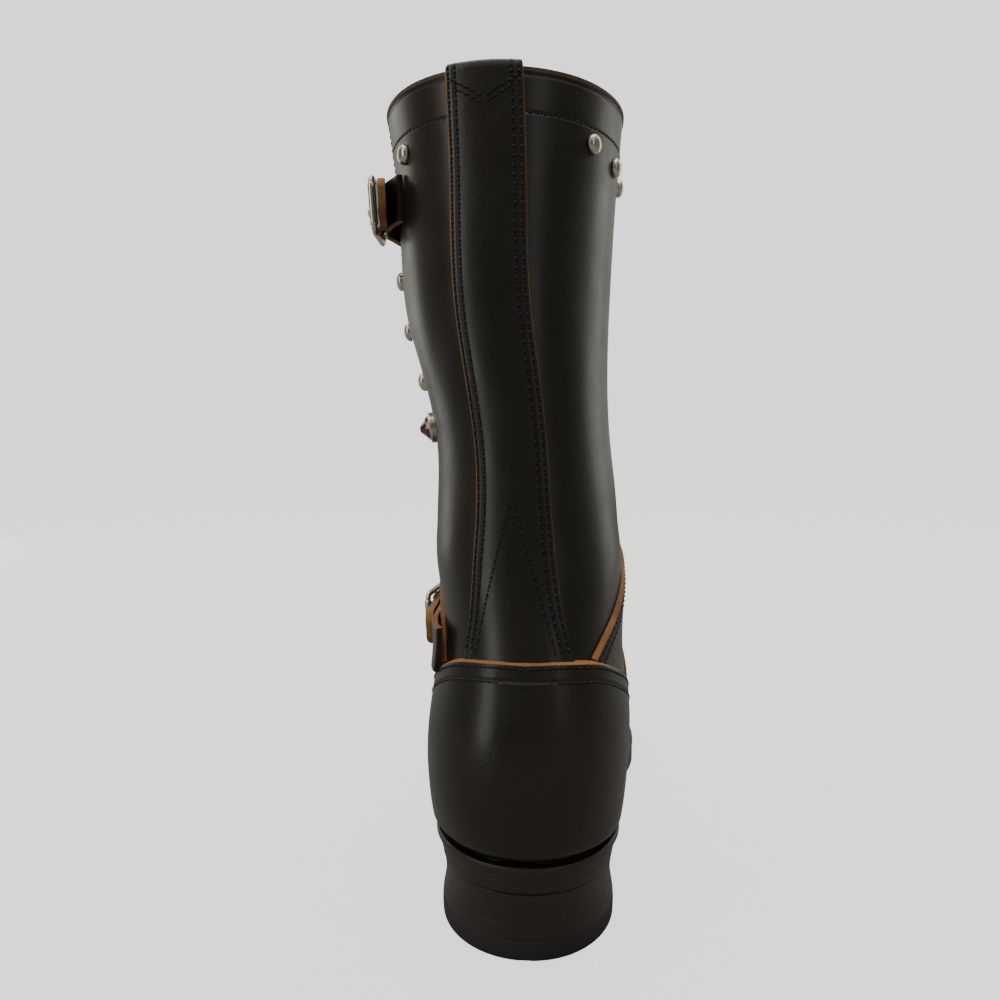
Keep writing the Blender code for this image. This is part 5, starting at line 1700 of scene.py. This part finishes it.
def at_tread(loop, rise):
    return np.stack([loop[:, 0], loop[:, 1], tread_height(loop[:, 1]) + rise], -1)


class BOOT_OT_sole(bpy.types.Operator):
    """Adds the welt, the midsole and the outsole with their burnished edges"""

    bl_idname = "boot.sole"
    bl_label = "Sole"

    def execute(self, context):
        edge = stack_material("sole edge", 900, 0.55, 0.40)
        rise = OUTSOLE_THICKNESS + GAP
        for name, low, high, tucks in (
            ("outsole", 0.0, rise - 0.00003, (0.0026, 0.0017)),
            ("midsole", rise, rise + MIDSOLE_THICKNESS + GAP - 0.00003, (0.0016, 0.0008)),
        ):
            rings = []
            for inset, height in edge_rows(low, high, 0.00012):
                # Round the heel the layers draw in, and run on into the lifts.
                tuck = np.interp(height, (low, high), tucks)
                loop = sole_outline(0.97)
                near = 1 - smoothstep((share_of(loop[:, 1]) - 0.20) / 0.12)
                rings.append(at_tread(sole_outline(0.97, inset + tuck * near), height))
            piece = ring_solid(f"boot_{name}", rings, edge)
            finish_piece(piece, "heel_leather", name)
        rise += MIDSOLE_THICKNESS + GAP
        rings = [at_tread(sole_outline(1.0, inset), height)
                 for inset, height in edge_rows(rise, rise + WELT_THICKNESS)]
        inner = sole_outline(0.0, WELT_SEAM_WIDTH)
        rings = [at_tread(inner, rise)] + rings
        # The welt's top drops into a channel beside the upper, round the heel.
        for inset, depth in ((0.0008, 0.0), (0.0011, 0.0012), (0.0017, 0.0019)):
            loop = sole_outline(1.0, inset)
            ring = at_tread(loop, rise + WELT_THICKNESS)
            ring[:, 2] -= depth * (1 - smoothstep((share_of(loop[:, 1]) - 0.24) / 0.08))
            rings.append(ring)
        rings.append(at_tread(inner, rise + WELT_THICKNESS - 0.0016))
        piece = ring_solid("boot_welt", rings, edge, capped=False)
        finish_piece(piece, "heel_leather", "welt")
        return {"FINISHED"}


def heel_outline(share, inset=0.0, count=120):
    """Outline of the heel block at a share of its height, with its straight breast."""
    loop = sole_outline(1.0, 0.0, count)
    side = spline(HEEL_SIDE, 1, share) * WELT_REACH
    back = spline(HEEL_SIDE, 2, share) * WELT_REACH
    reach = WELT_REACH * EDGE[0][1]
    breast = along(0) - reach + HEEL_LENGTH - 0.003 * (1 - share)
    halves = []
    for points in (loop[:count], loop[count:][::-1]):
        start = points[:, 1].min()
        kept = points[points[:, 1] < breast - 0.001]
        y = start + back + (kept[:, 1] - start) * (breast - start - back) / (breast - start)
        x = kept[:, 0] * (1 - side / (SEAT_WIDTH / 2 + reach))
        half = np.append(np.stack([x, y], -1), [[x[-1], breast]], 0)
        run = np.concatenate([[0], np.cumsum(np.linalg.norm(np.diff(half, axis=0), axis=1))])
        at = np.linspace(0, run[-1], 56)
        halves.append(np.stack([np.interp(at, run, half[:, k]) for k in range(2)], -1))
    loop = np.concatenate([halves[0], halves[1][::-1]])
    if inset:
        tangent = np.roll(loop, -1, 0) - np.roll(loop, 1, 0)
        normal = np.stack([tangent[:, 1], -tangent[:, 0]], -1)
        loop = loop - normal / np.linalg.norm(normal, axis=1, keepdims=True) * inset
    return loop


class BOOT_OT_heel(bpy.types.Operator):
    """Adds the stacked leather lifts and the rubber heel cap"""

    bl_idname = "boot.heel"
    bl_label = "Heel"

    def execute(self, context):
        stack = stack_material("heel stack", 780, 0.95, 0.36)
        pieces = [("heel_cap", 0.0, CAP_THICKNESS, rubber_material(), "rubber", 0.00025)]
        for i in range(LIFT_COUNT):
            low = CAP_THICKNESS + GAP + i * (LIFT_THICKNESS + GAP)
            pieces.append((f"heel_lift_{i + 1}", low, low + LIFT_THICKNESS, stack,
                           "heel_leather", 0.0001))
        for name, low, high, material, slot, soft in pieces:
            high += GAP - 0.00003
            rings = []
            profile = edge_rows(low, high, soft)
            half = len(profile) // 2
            middle = [(0.0, low + (high - low) * t) for t in (0.3, 0.5, 0.7)]
            for inset, height in profile[:half] + middle + profile[half:]:
                loop = heel_outline(height / HEEL_HEIGHT, inset)
                rings.append(np.column_stack([loop, np.full(len(loop), height)]))
            piece = ring_solid(f"boot_{name}", rings, material, angle=32)
            finish_piece(piece, slot, name)
        return {"FINISHED"}


class BOOT_OT_insole(bpy.types.Operator):
    """Gives the insole board its used leather finish"""

    bl_idname = "boot.insole"
    bl_label = "Insole"

    def execute(self, context):
        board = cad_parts["insole"]
        colour = context.scene.boot_colours.flesh
        finish = fibre_material("insole leather", tuple(c * 1.5 for c in colour), 0.6, 240.0,
                                0.00005, 0.6)
        board.data.materials.clear()
        board.data.materials.append(finish)
        return {"FINISHED"}


def stitch_run(v, u, height, pitch):
    """Places, directions and normals of stitches a pitch apart along a line."""
    return spaced(laid(v, u, height), form_normal(v, u), pitch)


def spaced(points, normals, pitch):
    run = np.concatenate([[0], np.cumsum(np.linalg.norm(np.diff(points, axis=0), axis=1))])
    at = np.arange(pitch / 2, run[-1], pitch)

    def read(values, where):
        return np.stack([np.interp(where, run, values[:, k]) for k in range(3)], -1)

    ahead = read(points, at + pitch / 2) - read(points, at - pitch / 2)
    ahead /= np.maximum(np.linalg.norm(ahead, axis=1, keepdims=True), 1e-9)
    up = read(normals, at)
    up -= ahead * (ahead * up).sum(1, keepdims=True)
    up /= np.linalg.norm(up, axis=1, keepdims=True)
    return read(points, at), ahead, up


def stitch_mesh(pitch, thick):
    """One stitch: a thread that dips into the leather, and a near-black disc painted as the shade in
    the hole that it goes into.
    """
    bpy.ops.object.select_all(action="DESELECT")
    bpy.ops.mesh.primitive_uv_sphere_add(segments=8, ring_count=6, radius=0.5)
    thread = bpy.context.object
    length = pitch * 0.84
    for vert in thread.data.vertices:
        x, y, z = vert.co
        dip = thick * 0.75 * (2 * z) ** 2
        vert.co = (z * length, x * thick, y * thick * 0.7 + thick * 0.10 - dip)
    thread.data.materials.append(thread_material())
    bpy.ops.object.select_all(action="DESELECT")
    bpy.ops.mesh.primitive_circle_add(vertices=8, radius=thick * 0.52, fill_type="TRIFAN")
    hole = bpy.context.object
    for vert in hole.data.vertices:
        vert.co.x += pitch / 2
        vert.co.z += 0.00007
    hole.data.materials.append(hole_shade_material())
    return join("stitch", [thread, hole])


def sew(name, runs, pitch, thick):
    """Copies one stitch along every run, as one mesh."""
    one = stitch_mesh(pitch, thick)
    base = np.array([vert.co for vert in one.data.vertices])
    faces = [list(face.vertices) for face in one.data.polygons]
    slots = [face.material_index for face in one.data.polygons]
    places = np.concatenate([run[0] for run in runs])
    ahead = np.concatenate([run[1] for run in runs])
    up = np.concatenate([run[2] for run in runs])
    side = np.cross(up, ahead)
    points = (places[:, None] + base[None, :, :1] * ahead[:, None]
              + base[None, :, 1:2] * side[:, None] + base[None, :, 2:] * up[:, None])
    count = len(base)
    mesh = bpy.data.meshes.new(name)
    all_faces = [[n + k * count for n in face] for k in range(len(places)) for face in faces]
    mesh.from_pydata(points.reshape(-1, 3).tolist(), [], all_faces)
    for material in one.data.materials:
        mesh.materials.append(material)
    mesh.polygons.foreach_set("material_index", slots * len(places))
    made = bpy.data.objects.new(name, mesh)
    bpy.context.scene.collection.objects.link(made)
    bpy.data.objects.remove(one)
    smooth(made, 60)
    finish_piece(made, "leather")
    return made


def leg_path(rows, count=60):
    """Rungs and stations along a line on the leg, given as (arc, height) rows."""
    rows = np.array(rows, float)
    run = np.concatenate([[0], np.cumsum(np.linalg.norm(np.diff(rows, axis=0), axis=1))])
    at = np.linspace(0, run[-1], count)
    spots = [leg_row(np.array([np.interp(a, run, rows[:, 0])]), np.interp(a, run, rows[:, 1]))
             for a in at]
    return np.array([s[0][0] for s in spots]), np.array([s[1][0] for s in spots])


class BOOT_OT_stitching(bpy.types.Operator):
    """Sews the collar, the stay, the counter, the vamp, the side seam and the welt"""

    bl_idname = "boot.stitching"
    bl_label = "Stitching"

    def execute(self, context):
        sizes = context.scene.boot_sizes
        pitch, thick = sizes.stitch, sizes.thread
        line = TOP_HEIGHT - 0.0162
        edge = sizes.stay_width / 2
        runs = []
        for side in (1, -1):
            start = stay_middle(line) * side + edge + 0.001
            v, u = leg_row(side * np.linspace(start, 0.172, 160), line)
            runs.append(stitch_run(v, u, 0.0, pitch * 0.86))
        sew("boot_stitches_collar", runs, pitch * 0.86, thick * 0.62)

        runs = []
        heights = np.concatenate([np.linspace(0.1125, 0.17, 14), np.linspace(0.18, 0.3215, 20)])
        for inset in (0.0019, 0.0046):
            for side in (1, -1):
                rows = [(side * (float(stay_half(z, sizes.stay_width)) - inset) + stay_middle(z), z)
                        for z in heights]
                runs.append(stitch_run(*leg_path(rows, 70), sizes.stay, pitch))
        sew("boot_stitches_stay", runs, pitch, thick)

        runs = []
        tab = TOP_HEIGHT - 0.0115
        for drop, reach in ((0.0, 0.0117), (0.0024, 0.0100)):
            middle = stay_middle(tab)
            for side in (1, -1):
                rows = [(middle + side * 0.0003, tab - drop),
                        (middle + side * reach, tab - drop + reach * 0.60)]
                runs.append(stitch_run(*leg_path(rows, 12), sizes.stay, pitch * 0.9))
        for side in (1, -1):
            rows = [(0.0024 + side * 0.0004, 0.1672),
                    (stay_middle(0.1125) + side * 0.0146, 0.1125)]
            runs.append(stitch_run(*leg_path(rows, 24), sizes.stay, pitch))
        sew("boot_stitches_tab", runs, pitch * 0.95, thick * 0.85)

        runs = []
        for inset in (0.0029, 0.0080):
            v, u = side_curve(COUNTER_EDGE, inset, 140)
            u[-1] = 0.0
            v, u = np.concatenate([v, v[-2::-1]]), np.concatenate([u, 1 - u[-2::-1]])
            runs.append(stitch_run(v, u, sizes.counter, pitch))
        sew("boot_stitches_counter", runs, pitch, thick * 0.78)

        runs = []
        for inset in (0.0026, 0.0052):
            v, u = side_curve(VAMP_EDGE_OUTER, inset, 120)
            other_v, other_u = side_curve(VAMP_EDGE, inset, 120)
            v = np.concatenate([v[::-1], other_v[1:]])
            u = np.concatenate([u[:0:-1], [0.5], 1 - other_u[1:]])
            runs.append(stitch_run(v, u, sizes.vamp, pitch))
        sew("boot_stitches_vamp", runs, pitch, thick * 0.85)

        slit = [(0.0722, 0.3222), (0.0722, 0.244), (0.0736, 0.238), (0.0755, 0.236),
                (0.0774, 0.238), (0.0788, 0.244), (0.0788, 0.3222)]
        runs = [stitch_run(*leg_path(slit, 90), 0.0, pitch * 0.86)]
        sew("boot_stitches_side", runs, pitch * 0.86, thick * 0.7)

        rise = OUTSOLE_THICKNESS + MIDSOLE_THICKNESS + WELT_THICKNESS + 2 * GAP
        loop = at_tread(sole_outline(1.0, 0.0023), rise + 0.00005)
        half = len(loop) // 2
        start = int((share_of(loop[:half, 1]) < 0.30).sum())
        loop = loop[start : len(loop) - start]
        up = np.tile([0.0, 0.0, 1.0], (len(loop), 1))
        sew("boot_stitches_welt", [spaced(loop, up, pitch * 1.2)], pitch * 1.2, thick)
        return {"FINISHED"}


def small_disc(name, places, radius, material, lift):
    """Small dark discs on the boot, each at a place with its normal."""
    discs = []
    for k, (point, normal) in enumerate(places):
        bpy.ops.object.select_all(action="DESELECT")
        bpy.ops.mesh.primitive_circle_add(vertices=14, radius=radius, fill_type="TRIFAN")
        disc = bpy.context.object
        disc.data.materials.append(material)
        place_on(disc, np.array(point) + np.array(normal) * lift, normal)
        discs.append(disc)
    made = join(name, discs)
    finish_piece(made, "leather")
    return made


class BOOT_OT_holes(bpy.types.Operator):
    """Adds the lasting pinhole at the back of the counter and the straps' punched holes, as
    near-black discs painted as the shade in each hole
    """

    bl_idname = "boot.holes"
    bl_label = "Holes"

    def execute(self, context):
        sizes = context.scene.boot_sizes
        v, u = leg_row(np.array([0.0046]), 0.0895)
        points = laid(v, u, sizes.counter)
        small_disc("boot_pinhole", [(points[0], form_normal(v, u)[0])], 0.0007,
                   hole_shade_material(), 0.00006)
        spot = top_strap_field(TOP_STRAP_LIFT)
        course, length = course_field(INSTEP_COURSE)
        places = []
        for field, thick, ats in (
            (spot, sizes.strap, (0.0955, 0.1180)),
            (course, sizes.strap + 0.0005, (length - 0.056, length - 0.078)),
        ):
            at = np.array(ats)
            zero, one = np.zeros(2), np.ones(2)
            top = field(at, zero, one, thick)
            one_way = field(at, zero + 0.001, one, thick) - top
            other = field(at + 0.001, zero, one, thick) - top
            normals = np.cross(one_way, other)
            normals /= np.linalg.norm(normals, axis=1, keepdims=True)
            inside = field(at, zero, zero, thick)
            normals *= np.sign(((top - inside) * normals).sum(1, keepdims=True))
            places += list(zip(top, normals))
        small_disc("boot_strap_holes", places, 0.0017, hole_shade_material(), 0.00008)
        return {"FINISHED"}


class BOOT_OT_stage(bpy.types.Operator):
    """Adds the camera at the photograph's angle, the pale floor and the soft lights"""

    bl_idname = "boot.stage"
    bl_label = "Stage"

    def execute(self, context):
        scene = context.scene
        camera = bpy.data.objects.new("camera", bpy.data.cameras.new("camera"))
        camera.data.lens = CAMERA_LENS
        camera.data.sensor_width = 36.0
        camera.data.clip_start = 0.01
        camera.location = CAMERA_PLACE
        camera.rotation_euler = (
            math.radians(90 - CAMERA_DOWN), 0, math.radians(CAMERA_LEFT))
        scene.collection.objects.link(camera)
        scene.camera = camera

        bpy.ops.object.select_all(action="DESELECT")
        bpy.ops.mesh.primitive_circle_add(
            vertices=96, radius=9.0, fill_type="NGON", location=(0, 0, -0.0002))
        floor = context.object
        bpy.ops.object.transform_apply(location=True)
        floor.name = floor.data.name = "floor"
        material, tree, shader, spot = new_material(
            "floor", Roughness=0.8, Emission_Color=(1, 1, 0.99, 1))
        colour = scene.boot_colours.floor
        tone = blend(tree, cloud(tree, spot, 3.0, 3.0), opaque(colour, 0.34), opaque(colour, 0.35))
        seen = tree.nodes.new("ShaderNodeLightPath").outputs["Is Camera Ray"]
        # The boot meets a darker floor than the camera does, as if on a stand.
        tone = blend(tree, seen, opaque(colour, 0.30), tone)
        tree.links.new(tone, shader.inputs["Base Color"])
        tree.links.new(calc(tree, "MULTIPLY", seen, 1.42), shader.inputs["Emission Strength"])
        floor.data.materials.append(material)

        lights = (
            # name, place, size, height, power, colour
            ("window", (-1.05, -0.75, 0.62), 0.40, 1.5, 5.0, (1.0, 0.97, 0.90)),
            ("fill", (0.95, -0.95, 0.75), 0.4, 1.1, 1.0, (1.0, 0.98, 0.94)),
            ("top", (0.0, 0.35, 2.4), 2.6, 2.6, 38.0, (1.0, 0.99, 0.96)),
            ("rim", (0.95, 0.85, 0.6), 0.5, 1.4, 2.2, (1.0, 0.98, 0.92)),
            ("rim_outer", (-1.0, 0.85, 0.6), 0.5, 1.4, 2.2, (1.0, 0.98, 0.92)),
        )
        for name, spot, width, height, power, colour in lights:
            lamp = bpy.data.lights.new(name, "AREA")
            lamp.shape = "RECTANGLE"
            lamp.size, lamp.size_y = width, height
            lamp.energy, lamp.color = power, colour
            made = bpy.data.objects.new(name, lamp)
            made.location = spot
            aim = Vector((0, 0.03, 0.17)) - Vector(spot)
            made.rotation_euler = aim.to_track_quat("-Z", "Y").to_euler()
            scene.collection.objects.link(made)

        world = bpy.data.worlds.new("studio")
        scene.world = world
        world.use_nodes = True
        tree = world.node_tree
        background = tree.nodes["Background"]
        way = tree.nodes.new("ShaderNodeTexCoord").outputs["Generated"]
        parts = add_node(tree, "ShaderNodeSeparateXYZ", {"Vector": way})
        far = between(tree, parts.outputs["Y"], 0.05, 0.85, 0.15, 0.52)
        high = between(tree, parts.outputs["Z"], 0.25, 0.90, 0.0, 0.70)
        seen = tree.nodes.new("ShaderNodeLightPath").outputs["Is Camera Ray"]
        power = calc(tree, "MAXIMUM", calc(tree, "MAXIMUM", far, high),
                     calc(tree, "MULTIPLY", seen, 1.6))
        tree.links.new(power, background.inputs["Strength"])
        tint = blend(tree, seen, (1.0, 0.97, 0.88, 1.0), (1.0, 1.0, 0.995, 1.0))
        tree.links.new(tint, background.inputs["Color"])
        return {"FINISHED"}


class BOOT_PT_panel(bpy.types.Panel):
    """Lists the boot's pieces, sizes and colours"""

    bl_label = "Engineer Boot"
    bl_idname = "BOOT_PT_panel"
    bl_space_type = "VIEW_3D"
    bl_region_type = "UI"
    bl_category = "Boot"

    def draw(self, context):
        layout = self.layout
        for operator in OPERATORS:
            layout.operator(operator.bl_idname)
        for group in (context.scene.boot_sizes, context.scene.boot_colours):
            column = layout.column()
            for name in group.__annotations__:
                column.prop(group, name)


OPERATORS = (
    BOOT_OT_stage,
    BOOT_OT_upper,
    BOOT_OT_vamp,
    BOOT_OT_counter,
    BOOT_OT_back_stay,
    BOOT_OT_straps,
    BOOT_OT_buckles,
    BOOT_OT_studs,
    BOOT_OT_jewel,
    BOOT_OT_sole,
    BOOT_OT_heel,
    BOOT_OT_insole,
    BOOT_OT_stitching,
    BOOT_OT_holes,
)
CLASSES = (BootSizes, BootColours, *OPERATORS, BOOT_PT_panel)


def register():
    for cls in CLASSES:
        bpy.utils.register_class(cls)
    bpy.types.Scene.boot_sizes = PointerProperty(type=BootSizes)
    bpy.types.Scene.boot_colours = PointerProperty(type=BootColours)


def unregister():
    del bpy.types.Scene.boot_colours
    del bpy.types.Scene.boot_sizes
    for cls in reversed(CLASSES):
        bpy.utils.unregister_class(cls)


def main():
    register()
    for operator in OPERATORS:
        group, name = operator.bl_idname.split(".")
        getattr(getattr(bpy.ops, group), name)()


if __name__ == "__main__":
    main()
